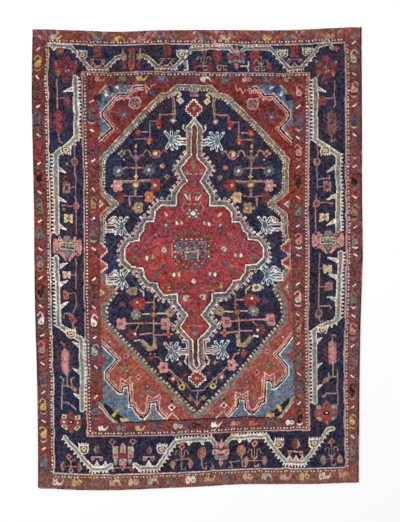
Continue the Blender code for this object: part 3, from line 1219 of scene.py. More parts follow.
def draw_side_star(half, x, y, arm_low, arm_high, core="a"):
    """A comb star that grows out of the field's edge band on a hooked arm."""
    for low, high, yarn in ((arm_low, arm_high, "W"), (arm_low + 1.8, arm_high - 1.8, "e")):
        half.box(114, 134, low, high, yarn)
    half.line([(132, y - 8), (132, y + 5)], "c", 2.4)
    hook = [(131, y + 2), (114, y + 2), (119, y + 12), (126, y + 7), (121, y + 6)]
    repeat(half.line, (hook, "W", 4.6), (hook, "r", 1.9))
    half.comb_star(x, y, [(-dx, dy) for dx, dy in COMB_ENDS], core)


def draw_shaft_stars(half):
    """The comb stars beside both shafts, on striped arms."""
    for low, high, yarn in ((180, 182.6, "W"), (178, 180, "k"), (176, 178.2, "W"), (174.4, 176, "r"),
            (172, 174.4, "W")):
        half.box(12, 30, low, high, yarn)
    half.comb_star(34, 179, [(-dx if abs(dx) > 8 and dx > 0 else dx, dy) for dx, dy in COMB_ENDS], "b")
    half.comb_star(34, 179, COMB_ENDS, "b")
    hook = [(28, -136), (13, -136), (13, -124), (18, -124)]
    repeat(half.line, (hook, "W", 4.8), (hook, "r", 1.9))
    for low, high, yarn in ((-144, -138.5, "w"), (-142.4, -140, "e")):
        half.box(12, 32, low, high, yarn)
    half.comb_star(36, -138, COMB_ENDS, "b")


def draw_pendant(chart, x, y, steps, heart):
    """A stepped diamond with an ivory outline."""
    for yarn, grown in (("w", 1.4), ("r", 0)):
        for half_width, half_height in steps:
            wide, tall = half_width + grown, half_height + grown
            chart.box(x - wide, x + wide, y - tall, y + tall, yarn)
    repeat(chart.diamond, (x, y, 3.4, 4, heart[0]), (x, y, 1.6, 2, heart[1]))


def draw_trees(chart):
    """Everything on the dark blue field: trees, comb stars, pendants and the heads of the shafts."""
    left, right = Half(chart, -1), Half(chart, 1)
    draw_upper_tree(left)
    draw_upper_tree(right, "P", "p", "r", "q", "c")
    draw_lower_tree(left)
    draw_lower_tree(right, "c", "r", "p", "y")
    for half in (left, right):
        draw_side_star(half, 107.5, 52, 42, 48)
        draw_side_star(half, 109, -27, -36, -29)
        draw_shaft_stars(half)
        half.line([(28, 246), (23, 251), (19, 248), (23, 243)], "c", 2.8)
        half.line([(25, 246), (22, 248.5)], "h", 1.2)
        repeat(half.diamond, (20, 238, 5, 5.4, "c"), (20, 238, 2.6, 3, "t"), (20, 238, 1.2, 1.4, "y"))
        half.line([(0, -198), (9, -198), (17, -188)], "q", 2)
        half.line([(0, -220), (5, -212), (11, -211)], "q", 1.8)
        half.crosslet(10, -209, 2.4, "t", "o")
    repeat(chart.box, (AXIS - 6, AXIS + 6, 245, 254, "q"), (AXIS - 6, AXIS + 6, 248, 251, "B"),
            (AXIS - 0.9, AXIS + 0.9, -222, -198, "q"))
    draw_pendant(chart, AXIS, 227, ((11, 2.5), (8, 6), (4.5, 9.5), (1.6, 12.5)), "le")
    draw_pendant(chart, AXIS, -180, ((11.5, 2.5), (8, 6), (4.5, 9), (1.6, 11.5)), "lR")
    # the pointed heads of the shaft
    for half in (left, right):
        half.line([(13, 192), (17, 197), (16, 202)], "w", 2)
        half.shape([(0, 213), (13, 198), (12, 190), (0, 190)], "e")
        half.line([(0, 213), (12.5, 198), (12.5, 186)], "w", 1.9)
        half.line([(0, 206), (4.5, 199), (4.5, 186)], "w", 1.9)
        half.shape([(0, 204), (3.6, 198), (3.6, 160), (0, 160)], "h")
        repeat(half.line, ([(12.5, -160), (0, -171)], "w", 1.9), ([(5, -158), (0, -164)], "w", 1.9),
                ([(14, -146), (17, -153), (15, -159)], "w", 2))


def draw_medallion_figures(chart):
    """Stems, leaves and small figures in the medallion, alike on both sides."""
    for half in (Half(chart, -1), Half(chart, 1)):
        # the green stem of the upper neck, with bars
        repeat(half.line, ([(0, 152), (0, 112)], "a", 2), ([(2, 149), (2, 138)], "g", 1.3),
                ([(2, 129), (12, 129)], "q", 1.6))
        repeat(half.disc, (11, 133, 3, 3.2, "t"), (11, 133, 1.6, 1.8, "g"))
        repeat(half.line, ([(2, 101), (12, 101), (12, 105)], "g", 1.7), ([(8, 91), (12, 97)], "w", 2),
                ([(5, 90), (5, 96)], "l", 2), ([(3, 84), (11, 84), (13, 90)], "t", 1.4),
                ([(13, 86), (17, 78), (14, 73)], "t", 1.5), ([(25, 80), (32, 75), (40, 76)], "h", 1.5),
                ([(42, 62), (36, 57), (30, 60)], "q", 1.4), ([(42, 71), (38, 66)], "c", 2.4))
        # pairs of small leaves
        for x, y in ((20, 55), (66, 4), (27, -24)):
            repeat(half.disc, (x + 4, y - 1, 2.2, 3.4, "w"), (x - 4, y, 2.2, 3.4, "c"))
            half.box(x - 1.6, x + 2, y - 3.4, y + 3.4, "g")
        repeat(half.line, ([(46, 53), (40, 46), (34, 53)], "E", 3.2), ([(40, 47), (40, 38)], "u", 3.6))
        half.diamond(40, 44, 2.2, 3, "a")
        half.disc(40, 52, 1.8, 1.8, "i")
        repeat(half.diamond, (45, 14, 7.6, 7.6, "g"), (45, 14, 6, 6, "m"))
        repeat(half.disc, (45, 14, 3.6, 4.2, "i"), (45, 14, 1.4, 1.6, "k"), (46, -10, 4.4, 4, "B"),
                (46, -10, 2, 2, "N"))
        half.line([(62, -28), (58, -18), (53, -27)], "E", 2.8)
        half.line([(66, -14), (58, -14), (52, -9)], "q", 1.4)
        for low in (8, -5):
            half.line([(94, low + 9), (88, low + 2), (82, low + 9)], "u" if low > 0 else "g", 2.4)
            half.diamond(88, low + 8, 3.4, 2.6, "a")
            half.line([(93, low - 1), (88, low + 3), (83, low - 1)], "u", 1.8)
        repeat(half.line, ([(74, 24), (62, 34), (52, 40)], "q", 1.5), ([(74, 20), (68, 12)], "q", 1.5))
        repeat(half.disc, (38, -44, 3.4, 2.8, "y"), (36, -43, 1.4, 1.4, "k"))
        repeat(half.line, ([(8, -45), (24, -43)], "g", 1.5), ([(4, -38), (44, -38)], "q", 1.2),
                ([(14, -49), (28, -49), (28, -52)], "q", 1.3))
        repeat(half.disc, (12, -57, 5, 3, "l"), (14, -61, 3.4, 2.4, "l"), (11, -58, 1.8, 1.6, "g"))
        repeat(half.line, ([(0, -67), (0, -108)], "g", 1.8), ([(0, -67), (12, -67)], "h", 1.5),
                ([(0, -101), (12, -101)], "q", 1.4))
        half.shape([(0, -118), (4, -111), (0, -106)], "a")
    draw_centre(chart)


def draw_centre(chart):
    """The rosette above the middle, and the framed heart of the medallion."""
    # places right of the axis are positive
    centre = Half(chart, 1)
    for dx, dy, yarn in ((0, 7, "a"), (0, -7, "a"), (8, 0, "l"), (-8, 0, "l"), (5, 5, "i"), (-5, 5, "i"),
            (5, -5, "i"), (-5, -5, "i")):
        repeat(centre.diamond, (dx, 70 + dy, 3.6, 3.6, "k"), (dx, 70 + dy, 2.6, 2.6, yarn))
    centre.diamond(0, 70, 4.6, 4.6, "w")
    # an eight-sided frame round the heart
    frame_line = [(-33, 0), (-33, 26), (-24, 37), (-8, 41), (6, 40), (19, 36), (27, 27), (27, 1),
            (14, -11), (-1, -18), (-14, -19), (-28, -12), (-33, 0)]
    centre.shape(frame_line, "R")
    mottle(chart, AXIS - 34, AXIS + 28, -20, 42, "RmRmrh", "R", 5, 3)
    centre.line(frame_line, "h", 3)
    for (xa, ya), (xb, yb) in zip(frame_line, frame_line[1:]):
        for share in (0.2, 0.5, 0.8):
            centre.diamond(xa + (xb - xa) * share, ya + (yb - ya) * share, 1.5, 1.5,
                    "g" if share == 0.5 else "q")
    centre.line([(-33, 2), (-33, 25)], "p", 1.4)
    for x, y in ((-11, 42), (5, 41), (19, 35), (-27, 34)):
        centre.diamond(x, y, 2.6, 2.2, "g")
    repeat(centre.box, (-27, 19, -2, 28, "k"), (-27, 19, 14, 25, "b"), (-27, 19, -1, 14, "E"))
    mottle(chart, AXIS - 28, AXIS + 20, -3, 26, "bEeBg", "b", 5, 3)
    mottle(chart, AXIS - 28, AXIS + 20, -3, 26, "EuEeq", "E", 5, 3)
    for x, y in ((-17, 4), (11, 3), (11, 18)):
        centre.box(x - 4, x + 4, y - 4, y + 4, "u")
        centre.diamond(x, y, 1.8, 1.8, "p")
    centre.diamond(-4, 4, 5.4, 6, "b")
    repeat(centre.line, ([(-25, 26.5), (18, 26.5)], "p", 1.7), ([(-13, 11), (5, 12.6), (5, 0)], "c", 1.9),
            ([(-12, 7), (-12, 0)], "P", 1.6))
    centre.box(-13, -9, 15, 19, "c")
    ivory_dots = [(x, 30) for x in (-18, -11, -3, 5, 12)] + [(x, y) for x in (-28, 22) for y in (20, 11, 3)]
    for x, y in ivory_dots:
        centre.diamond(x, y, 1.5, 1.5, "w")
    for x, y in ((-22, -4), (-17, -9), (-26, -8), (6, -3), (11, -8), (7, -12), (-12, -12), (15, -3)):
        centre.diamond(x, y, 1.8, 1.6, "P")
    for x, y, yarn in ((-2, -4, "g"), (-8, -8, "E"), (3, -9, "e"), (-20, -13, "E"), (-5, -14, "s"),
            (-9, -18, "q")):
        centre.diamond(x, y, 3, 2, yarn)
    # thin dark lines of the crimson ground
    for path in ([(-60, 34), (-44, 34), (-36, 44)], [(60, 34), (46, 34), (34, 46)],
            [(-58, -6), (-44, -22), (-30, -30)], [(56, -8), (42, -24), (28, -31)], [(-14, 60), (-26, 68)],
            [(14, 60), (26, 68)], [(-40, -50), (-20, -48)], [(20, -56), (40, -47)],
            [(-78, 8), (-70, 14), (-70, 24)], [(78, 8), (70, 14), (70, 24)], [(-36, -38), (36, -38)],
            [(-44, -44), (-6, -44)], [(-16, 118), (-4, 112)]):
        centre.line(path, "h", 1.4)
    repeat(centre.diamond, (0, -33, 4, 4, "w"), (0, -33, 2.2, 2.2, "y"), (0, -41, 2.6, 2.6, "B"))


def draw_corner_figures(chart):
    for half in (Half(chart, -1), Half(chart, 1)):
        draw_lower_corner(half)
        draw_upper_corner(half)
        for middle in (85, -47):
            half.shape([(142, middle + 6), (142, middle - 6), (134, middle)], "l")
            half.shape([(143, middle + 2), (143, middle - 2), (138, middle)], "g")


def crown(half, points):
    """A stepped outline in rosy ivory with red under it."""
    half.line([(x, y - 2) for x, y in points], "M", 3)
    half.line(points, "i", 1.7)


def draw_lower_corner(half):
    """The inner outline, stars and dotted flowers of a lower corner, and the figures in its blue."""
    crown(half, [(114, -192), (112, -174), (105, -180), (98, -174), (96, -212), (89, -213), (87, -224),
            (82, -229), (76, -229), (73, -222), (72, -202), (63, -208), (54, -202), (53, -206), (53, -224),
            (43, -238)])
    repeat(half.crosslet, (129, -120, 1.8, "g", "w"), (103, -143, 3, "P", "k"))
    half.line([(103, -147), (103, -160)], "u", 1.5)
    half.line([(121, -172), (120, -160), (92, -160), (86, -164)], "g", 1.5)
    half.star(103, -164, 5, "gl")
    half.crosslet(85, -174, 3, "P", "k")
    half.star(71, -189, 5, "hP")
    half.line([(47, -197), (81, -197), (81, -218)], "g", 1.6)
    for y, yarn in ((-222, "w"), (-213, "g")):
        half.crosslet(36, y, 3, yarn, "k")
    half.crosslet(19, -232, 2.2, "P", "k")
    half.line([(44, -240), (36, -230), (27, -240)], "i", 1.8)
    # inside the blue
    half.shape([(148, -140), (130, -148), (148, -158)], "r")
    half.line([(140, -134), (126, -147), (140, -160)], "a", 1.6)
    half.crosslet(132, -198, 2.6, "q", "e")
    half.diamond(64, -236, 3, 4, "q")
    half.shape([(140, -211), (128, -218), (120, -226), (108, -234), (113, -240), (122, -241), (140, -221)],
            "k")
    half.shape([(117, -221), (114, -225), (123, -233), (127, -229)], "y")
    half.shape([(114, -235), (103, -235), (101, -240), (114, -241)], "y")
    half.shape([(148, -212), (148, -242), (120, -242)], "r")
    repeat(half.line, ([(147, -211), (120, -242)], "l", 1.5), ([(147, -216), (124, -242)], "w", 1.4),
            ([(147, -213.5), (122, -242)], "g", 1.4))


def draw_upper_corner(half):
    """The round flower and branches of an upper corner, and the figures in its blue."""
    repeat(half.disc, (87, 235, 10.4, 10.4, "u"), (87, 235, 9.4, 9.4, "P"), (87, 235, 7.4, 7.4, "R"))
    repeat(half.crosslet, (87, 235, 4, "q", "n"), (87, 235, 2, "k", "P"))
    if half.side < 0:
        half.star(104, 218, 5.2, "BP")
        half.line([(103, 234), (103, 224)], "u", 1.5)
        half.line([(110, 222), (126, 223), (126, 211)], "g", 1.6)
        half.line([(71, 249), (72, 262), (66, 254), (62, 260), (58, 262)], "p", 1.7)
        repeat(half.disc, (63, 249, 5.6, 4.8, "k"), (63, 249, 4.2, 3.6, "B"))
    else:
        half.star(115, 214, 5.2, "BP")
        half.line([(102, 227), (112, 217)], "u", 1.5)
        half.line([(122, 216), (132, 214), (134, 207)], "g", 1.6)
        half.line([(62, 262), (64, 254), (70, 258), (73, 250), (78, 256)], "p", 1.7)
        repeat(half.disc, (84, 259, 4.4, 3, "k"), (84, 259, 2.4, 1.4, "i"))
    # a zigzag under the outline, and small loops on its arm
    half.line([(117, 244), (111, 240), (107, 244), (103, 240), (99, 247), (95, 243)], "p", 1.6)
    for x in (84, 90, 96):
        repeat(half.disc, (x, 254, 2.6, 3.4, "p"), (x, 253.5, 1.2, 1.8, "s"))
    half.crosslet(130, 164, 2, "g", "w")
    # inside the blue
    half.shape([(118, 262), (128, 262), (123, 250), (118, 252)], "N")
    half.shape([(148, 263), (127, 263), (136, 251), (148, 240)], "r")
    half.line([(127, 262), (137, 251), (147, 250)], "g", 1.6)
    half.line([(129, 263), (139, 252)], "c", 1.4)
    half.shape([(135, 249), (147, 249), (147, 240), (137, 239)], "n")
    half.shape([(133, 254), (129, 254), (126, 247), (131, 245)], "l")
    half.diamond(130, 248, 2, 2.4, "w")
    half.shape([(120, 261), (113, 261), (112, 256)], "w")
    half.shape([(148, 204), (136, 197), (148, 186)], "r")
    half.line([(147, 208), (138, 204)], "a", 2)


def draw_chart():
    chart = KnotChart(COLUMNS, ROWS, "R")
    draw_grounds(chart)
    draw_corners(chart)
    draw_field(chart)
    draw_guard_grounds(chart)
    draw_guards(chart)
    draw_bottom_border(chart)
    draw_top_border(chart)
    draw_left_border(chart)
    draw_right_border(chart)
    draw_medallion(chart)
    draw_corner_figures(chart)
    draw_trees(chart)
    draw_medallion_figures(chart)
    return chart


# ---- colour: yarn shades, dye bands across the rug, painted light and wear
def smooth_noise(random, count, step):
    """Values from -1 to 1 that change slowly along a line."""
    knots = random.uniform(-1, 1, int(count / step) + 3)
    return numpy.interp(numpy.arange(count) / step, numpy.arange(len(knots)), knots)


def smooth_field(random, rows, columns, step):
    """Values from -1 to 1 that change slowly over a sheet."""
    grid = random.uniform(-1, 1, (int(rows / step) + 3, int(columns / step) + 3))
    down = numpy.arange(rows) / step
    over = numpy.arange(columns) / step
    across = numpy.array([numpy.interp(over, numpy.arange(grid.shape[1]), line) for line in grid])
    return numpy.array([numpy.interp(down, numpy.arange(grid.shape[0]), line) for line in across.T]).T


def to_linear(colour):
    return numpy.where(colour <= 0.04045, colour / 12.92,
            ((numpy.maximum(colour, 0) + 0.055) / 1.055) ** 2.4)


def colour_knots(chart):
    """The display colour of every knot, from 0 to 1."""
    random = numpy.random.RandomState(SEED)
    palette = numpy.array([YARNS[letter] for letter in LETTERS])
    # the weaver's lines wander a little
    rows = numpy.arange(ROWS)[:, None] + WANDER * smooth_field(random, ROWS, COLUMNS, 14)
    columns = numpy.arange(COLUMNS)[None, :] + WANDER * smooth_field(random, ROWS, COLUMNS, 14)
    rows = numpy.clip(numpy.round(rows), 0, ROWS - 1).astype(int)
    columns = numpy.clip(numpy.round(columns), 0, COLUMNS - 1).astype(int)
    yarns = chart.yarns[rows, columns]
    colours = palette[yarns]
    # each yarn was dyed in lots that show as bands across the rug
    for number in range(len(LETTERS)):
        band = 0.045 * smooth_noise(random, ROWS, 34) + 0.03 * smooth_noise(random, ROWS, 7)
        chosen = yarns == number
        colours[chosen] = (colours * (1 + band)[:, None, None])[chosen]
    blotches = sum(depth * smooth_field(random, ROWS, COLUMNS, step) for step, depth in BLOTCHES)
    colours = colours * (1 + blotches)[..., None]
    warmth = 0.035 * smooth_field(random, ROWS, COLUMNS, 24)
    colours = colours + warmth[..., None] * numpy.array((0.9, -0.1, -0.8))
    # painted light: the lower end and the right side are lit brighter, paled toward a greyish pink, the pale
    # and red yarns more than the dark
    share = LOWER_PAINTED_LIGHT * numpy.clip(1 - numpy.arange(ROWS) / (0.75 * ROWS), 0, 1)[:, None]
    share = share + SIDE_PAINTED_LIGHT * numpy.clip(numpy.arange(COLUMNS) / COLUMNS * 6 - 4.6, 0, 1)[None, :]
    share = share * numpy.clip((palette.max(axis=1)[yarns] - 0.30) / 0.12, 0, 1)
    colours = colours + (numpy.array(PAINTED_LIGHT_TONE) - colours) * share[..., None]
    # both ends are worn to a tan, and the pale yarns near the upper end are soiled
    worn = numpy.interp(numpy.arange(ROWS), (14, 24, ROWS - 16, ROWS - 10), (0.26, 0, 0, 0.16))[:, None,
            None]
    colours = colours + (numpy.array(WORN) - colours) * worn
    soil = numpy.interp(numpy.arange(ROWS), (ROWS - 92, ROWS - 78), (0, 0.12))[:, None]
    soil = soil * (palette.max(axis=1)[yarns] > 0.5)
    colours = colours * (1 - soil)[..., None]
    colours = colours * (1 + random.normal(0, KNOT_JITTER, (ROWS, COLUMNS)))[..., None]
    colours = colours + SPECKLE * smooth_field(random, ROWS, COLUMNS, 1.7)[..., None]
    for channel in range(3):
        colours[..., channel] += SPECKLE * 0.45 * smooth_field(random, ROWS, COLUMNS, 2.1)
    return numpy.clip(colours, 0.02, 1)


# ---- shape: the outline of the CAD body, found by looking at its sides
def meet(name, origin, direction):
    """Where a straight look from origin first meets a CAD node."""
    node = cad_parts[name]
    inverse = node.matrix_world.inverted()
    look = (inverse.to_3x3() @ Vector(direction)).normalized()
    found, place, _, _ = node.ray_cast(inverse @ Vector(origin), look)
    if not found:
        raise RuntimeError("no edge found on " + name)
    return node.matrix_world @ place


def edge_line(name, axis, side):
    """The outer edge of a node on one axis, low (-1) or high (1), at stations along the other axis."""
    low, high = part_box(name)
    along = 1 - axis
    places = numpy.linspace(low[along] + END_MARGIN, high[along] - END_MARGIN, STATIONS)
    origin = [0, 0, (low[2] + high[2]) / 2]
    origin[axis] = low[axis] - 0.1 if side < 0 else high[axis] + 0.1
    direction = [0, 0, 0]
    direction[axis] = -side
    found = []
    for place in places:
        origin[along] = place
        found.append(meet(name, origin, direction)[axis])
    return places, numpy.array(found)


class Outline:
    """The four sides of the body, and the place on the rug of any share across and along it."""

    def __init__(self, body):
        self.low, self.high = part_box(body)
        self.sides = [edge_line(body, 0, side) for side in (-1, 1)]
        self.ends = [edge_line(body, 1, side) for side in (-1, 1)]
        self.middle_x = (self.low[0] + self.high[0]) / 2
        self.middle_y = (self.low[1] + self.high[1]) / 2

    def places(self, across, along):
        """x and y, in metres, for arrays of shares across and along."""
        end_low = numpy.interp(self.middle_x, *self.ends[0])
        end_high = numpy.interp(self.middle_x, *self.ends[1])
        side_low = numpy.interp(self.middle_y, *self.sides[0])
        side_high = numpy.interp(self.middle_y, *self.sides[1])
        y_near = end_low + (end_high - end_low) * along
        x_near = side_low + (side_high - side_low) * across
        left = numpy.interp(y_near, *self.sides[0])
        right = numpy.interp(y_near, *self.sides[1])
        lower = numpy.interp(x_near, *self.ends[0])
        upper = numpy.interp(x_near, *self.ends[1])
        x = left[:, None] + (right - left)[:, None] * across[None, :]
        y = lower[None, :] + (upper - lower)[None, :] * along[:, None]
        aside, up = drift(across, along)
        return x + aside, y + up


def drift(across, along):
    """How far the weaver's lines have wandered, in metres to the right and up."""
    x = ((across - 0.5) * COLUMNS)[None, :]
    y = ((along - 0.5) * ROWS)[:, None]
    # the inner and the outer right side lean out at the foot
    inner = numpy.interp(y, *zip(*INNER_LEAN)) * numpy.interp(x, (INNER_LEFT, INNER_RIGHT, OUTER_RIGHT),
            (0, 1, 0))
    outer = numpy.interp(y, *zip(*OUTER_LEAN)) * numpy.interp(x, (INNER_RIGHT, OUTER_RIGHT, COLUMNS / 2),
            (0, 1, 0))
    # the middle of the field sways from side to side
    sway = numpy.interp(y, *zip(*SWAY)) * numpy.interp(numpy.abs(x - AXIS), (120, 145), (1, 0))
    sway = sway + numpy.interp(y, *zip(*LEFT_PULL)) * numpy.interp(x - AXIS, (-138, -120, -50, -12),
            (0, 1, 1, 0))
    sway = sway + numpy.interp(y, *zip(*RIGHT_PULL)) * numpy.interp(x - AXIS, (8, 36, 125, 165),
            (0, 1, 1, 0))
    # the rows sag at the upper right, and rise a little at the foot of both sides
    sag_x = numpy.interp(x, (-70, 30, 145, 175), (0, 1, 1, 1.35))
    sag = -SAG * sag_x * numpy.interp(y, (-10, 60, 281, 322, 341), (0, 1, 0.85, 0.4, 0))
    rise_x = numpy.interp(numpy.abs(x), (60, 110), (0, 1))
    rise = LIFT * rise_x * numpy.interp(y, (-341, -320, -262, -240), (0, 0.6, 1, 0))
    return (inner + outer + sway) * KNOT, (sag + rise) * KNOT


def relief(x, y):
    """Slow waves of a rug that lies on a floor, in metres."""
    random = numpy.random.RandomState(SEED + 1)
    height = numpy.zeros(numpy.broadcast_shapes(x.shape, y.shape))
    for _ in range(9):
        wave = random.uniform(0.12, 0.5)
        angle = random.uniform(0, math.pi)
        phase = random.uniform(0, math.tau)
        height = height + numpy.sin((x * math.cos(angle) + y * math.sin(angle)) * math.tau / wave + phase)
    return height * WAVE_HEIGHT / 9


def make_grid(name, places, colours, material):
    """A sheet of quads with a colour on each, and a UV map that fills the square."""
    rows, columns = places.shape[:2]
    mesh = bpy.data.meshes.new(name)
    mesh.vertices.add(rows * columns)
    mesh.vertices.foreach_set("co", places.reshape(-1).astype(numpy.float32))
    corner = numpy.arange(rows * columns).reshape(rows, columns)
    quads = numpy.stack((corner[:-1, :-1], corner[:-1, 1:], corner[1:, 1:], corner[1:, :-1]),
            axis=-1).reshape(-1)
    mesh.loops.add(quads.size)
    mesh.loops.foreach_set("vertex_index", quads)
    mesh.polygons.add(quads.size // 4)
    mesh.polygons.foreach_set("loop_start", numpy.arange(0, quads.size, 4))
    mesh.update(calc_edges=True)
    layer = mesh.uv_layers.new(name="OFBake")
    uv = numpy.stack((quads % columns / (columns - 1), quads // columns / (rows - 1)), axis=-1)
    layer.data.foreach_set("uv", uv.reshape(-1).astype(numpy.float32))
    mesh.polygons.foreach_set("use_smooth", numpy.ones(quads.size // 4, dtype=bool))
    tint(mesh, colours)
    return show(name, mesh, material)


def tint(mesh, colours):
    attribute = mesh.attributes.new("yarn", "FLOAT_COLOR", "FACE")
    flat = to_linear(colours.reshape(-1, 3))
    rgba = numpy.column_stack((flat, numpy.ones(len(flat))))
    attribute.data.foreach_set("color", rgba.reshape(-1).astype(numpy.float32))


def show(name, mesh, material):
    piece = bpy.data.objects.new(name, mesh)
    bpy.context.scene.collection.objects.link(piece)
    mesh.materials.append(material)
    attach(piece, "root")
    return piece


def make_pile(outline, colours, material):
    """The knotted face, in strips across the rug."""
    across = numpy.arange(COLUMNS + 1) / COLUMNS
    along = numpy.arange(ROWS + 1) / ROWS
    x, y = outline.places(across, along)
    from_side = numpy.minimum(across, 1 - across)[None, :] * COLUMNS
    from_end = numpy.minimum(along, 1 - along)[:, None] * ROWS
    edge = numpy.minimum(from_side, from_end)
    droop = PILE_DROOP * numpy.clip(1 - edge / 2.0, 0, 1) ** 2
    random = numpy.random.RandomState(SEED + 2)
    z = outline.high[2] - WAVE_HEIGHT + relief(x, y) - droop + random.uniform(-1, 1, x.shape) * TUFT_HEIGHT
    places = numpy.stack((x, y, z), axis=-1)
    strips = []
    for number in range(PILE_STRIPS):
        start = ROWS * number // PILE_STRIPS
        stop = ROWS * (number + 1) // PILE_STRIPS
        name = "pile_%d" % (number + 1)
        strips.append(make_grid(name, places[start:stop + 1], colours[start:stop], material))
    return strips


def make_back(outline, colours, material):
    """The woven back, one closed slab: its lower face shows the knots from behind, two by two."""
    columns, rows = COLUMNS // 2, ROWS // 2
    across = numpy.arange(columns + 1) / columns
    along = numpy.arange(rows + 1) / rows
    x, y = outline.places(across, along)
    z = numpy.full(x.shape, outline.low[2] + BACK_RIDGE)
    z[1::2] += BACK_RIDGE
    z[[0, -1]] = outline.low[2] + BACK_RIDGE
    vertices = numpy.stack((x, y, z), axis=-1).reshape(-1, 3)
    corner = numpy.arange(len(vertices)).reshape(rows + 1, columns + 1)
    quads = numpy.stack((corner[:-1, :-1], corner[1:, :-1], corner[1:, 1:], corner[:-1, 1:]),
            axis=-1).reshape(-1, 4)
    rim = numpy.concatenate((corner[0, :-1], corner[:-1, -1], corner[-1, :0:-1], corner[:0:-1, 0]))
    upper = vertices[rim].copy()
    upper[:, 2] = outline.high[2] - PILE_DROOP - WAVE_HEIGHT
    rim_top = len(vertices) + numpy.arange(len(rim))
    walls = numpy.stack((rim, numpy.roll(rim, -1), numpy.roll(rim_top, -1), rim_top), axis=-1)
    mesh = bpy.data.meshes.new("woven_back")
    faces = quads.tolist() + walls.tolist() + [rim_top.tolist()]
    mesh.from_pydata(numpy.concatenate((vertices, upper)).tolist(), [], faces)
    mesh.update()
    shades = colours[::2, ::2] * 0.75 + colours[1::2, ::2] * 0.25
    shades = shades * 0.86 + numpy.array(FOUNDATION) * 0.14
    edge = numpy.broadcast_to(numpy.array(FOUNDATION) * 0.55, (len(walls) + 1, 3))
    tint(mesh, numpy.concatenate((shades.reshape(-1, 3), edge)))
    back = show("woven_back", mesh, material)
    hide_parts("rug_body")
    return back


def wrapped_tube(name, path, half_width, half_height, pitch, slant, shades, material):
    """A soft tube along a path, with ridges where yarn is wrapped round it. The path runs along x or y."""
    lengths = numpy.concatenate(((0,), numpy.cumsum(numpy.linalg.norm(numpy.diff(path, axis=0), axis=1))))
    count = int(lengths[-1] / pitch * 3)
    stations = numpy.linspace(0, lengths[-1], count + 1)
    centre = numpy.column_stack([numpy.interp(stations, lengths, path[:, axis]) for axis in range(3)])
    run = numpy.gradient(centre, axis=0)
    run /= numpy.linalg.norm(run, axis=1)[:, None]
    side = numpy.column_stack((run[:, 1], -run[:, 0], numpy.zeros(count + 1)))
    side /= numpy.linalg.norm(side, axis=1)[:, None]
    turns = numpy.arange(TUBE_SIDES) / TUBE_SIDES * math.tau
    wrap = stations[:, None] / pitch + turns[None, :] / math.tau * slant
    swell = 0.90 + 0.10 * numpy.abs(numpy.sin(wrap * math.pi))
    swell[[0, -1]] *= 0.5
    places = (centre[:, None, :] + side[:, None, :] * (numpy.cos(turns)[None, :] * swell * half_width)[...,
            None] + numpy.array((0, 0, 1))[None, None, :] * (numpy.sin(turns)[None, :] * swell
            * half_height)[..., None])
    index = numpy.arange((count + 1) * TUBE_SIDES).reshape(count + 1, TUBE_SIDES)
    beside = numpy.roll(index, -1, axis=1)
    quads = numpy.stack((index[:-1], beside[:-1], beside[1:], index[1:]), axis=-1).reshape(-1, 4)
    mesh = bpy.data.meshes.new(name)
    caps = [index[0, ::-1].tolist(), index[-1].tolist()]
    mesh.from_pydata(places.reshape(-1, 3).tolist(), [], quads.tolist() + caps)
    mesh.update()
    mesh.polygons.foreach_set("use_smooth", numpy.ones(len(mesh.polygons), dtype=bool))
    number = numpy.floor(wrap[:-1]).astype(int).reshape(-1) % len(shades)
    tint(mesh, numpy.concatenate((shades[number], shades[:2])))
    return show(name, mesh, material)


def yarn_shades(random, bases, count, step, spread):
    """A colour for each turn of yarn: bases follow each other slowly, and turns differ a little."""
    palette = numpy.array([YARNS[letter] for letter in bases])
    place = (smooth_noise(random, count, step) * 0.5 + 0.5) * (len(bases) - 1)
    near = numpy.clip(numpy.round(place + random.normal(0, 0.25, count)), 0, len(bases) - 1).astype(int)
    return numpy.clip(palette[near] * (1 + random.normal(0, spread, count))[:, None], 0.02, 1)


def edge_path(node, low, high, axis, side, inset):
    """The middle line of a tube of yarn along one edge, within the box of its CAD node."""
    places, outer = edge_line(node, axis, side)
    places = numpy.concatenate(((low[1 - axis] + END_TUCK,), places, (high[1 - axis] - END_TUCK,)))
    outer = numpy.concatenate((outer[:1], outer, outer[-1:])) - side * inset
    level = numpy.full(len(places), (low[2] + high[2]) / 2)
    return numpy.column_stack((outer, places, level) if axis == 0 else (places, outer, level))


def make_edges(material):
    """The overcast side cords and the woven end bands."""
    random = numpy.random.RandomState(SEED + 3)
    pieces = []
    for name, side in (("left", -1), ("right", 1)):
        node = "side_cord_" + name
        low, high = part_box(node)
        half = (high[2] - low[2]) / 2
        path = edge_path(node, low, high, 0, side, half)
        shades = yarn_shades(random, "khqkhkR", 1400, 40, 0.12)
        cord = wrapped_tube("overcast_" + name, path, half, half, CORD_TURN, 1.0, shades, material)
        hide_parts(node)
        pieces.append(cord)
    for name, side in (("lower", -1), ("upper", 1)):
        node = "end_band_" + name
        low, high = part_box(node)
        half = (high[2] - low[2]) / 2
        path = edge_path(node, low, high, 1, side, BAND_HALF)
        shades = yarn_shades(random, "htqtqkt", 1400, 16, 0.14)
        band = wrapped_tube("end_weave_" + name, path, BAND_HALF, half, BAND_TURN, 0.4, shades, material)
        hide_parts(node)
        pieces.append(band)
    return pieces


# ---- materials
def node_material(name):
    material = bpy.data.materials.new(name)
    material.use_nodes = True
    tree = material.node_tree
    return material, tree, tree.nodes["Principled BSDF"]


def add_node(tree, kind, **values):
    node = tree.nodes.new(kind)
    for key, value in values.items():
        if key in node.inputs:
            node.inputs[key].default_value = value
        else:
            setattr(node, key, value)
    return node


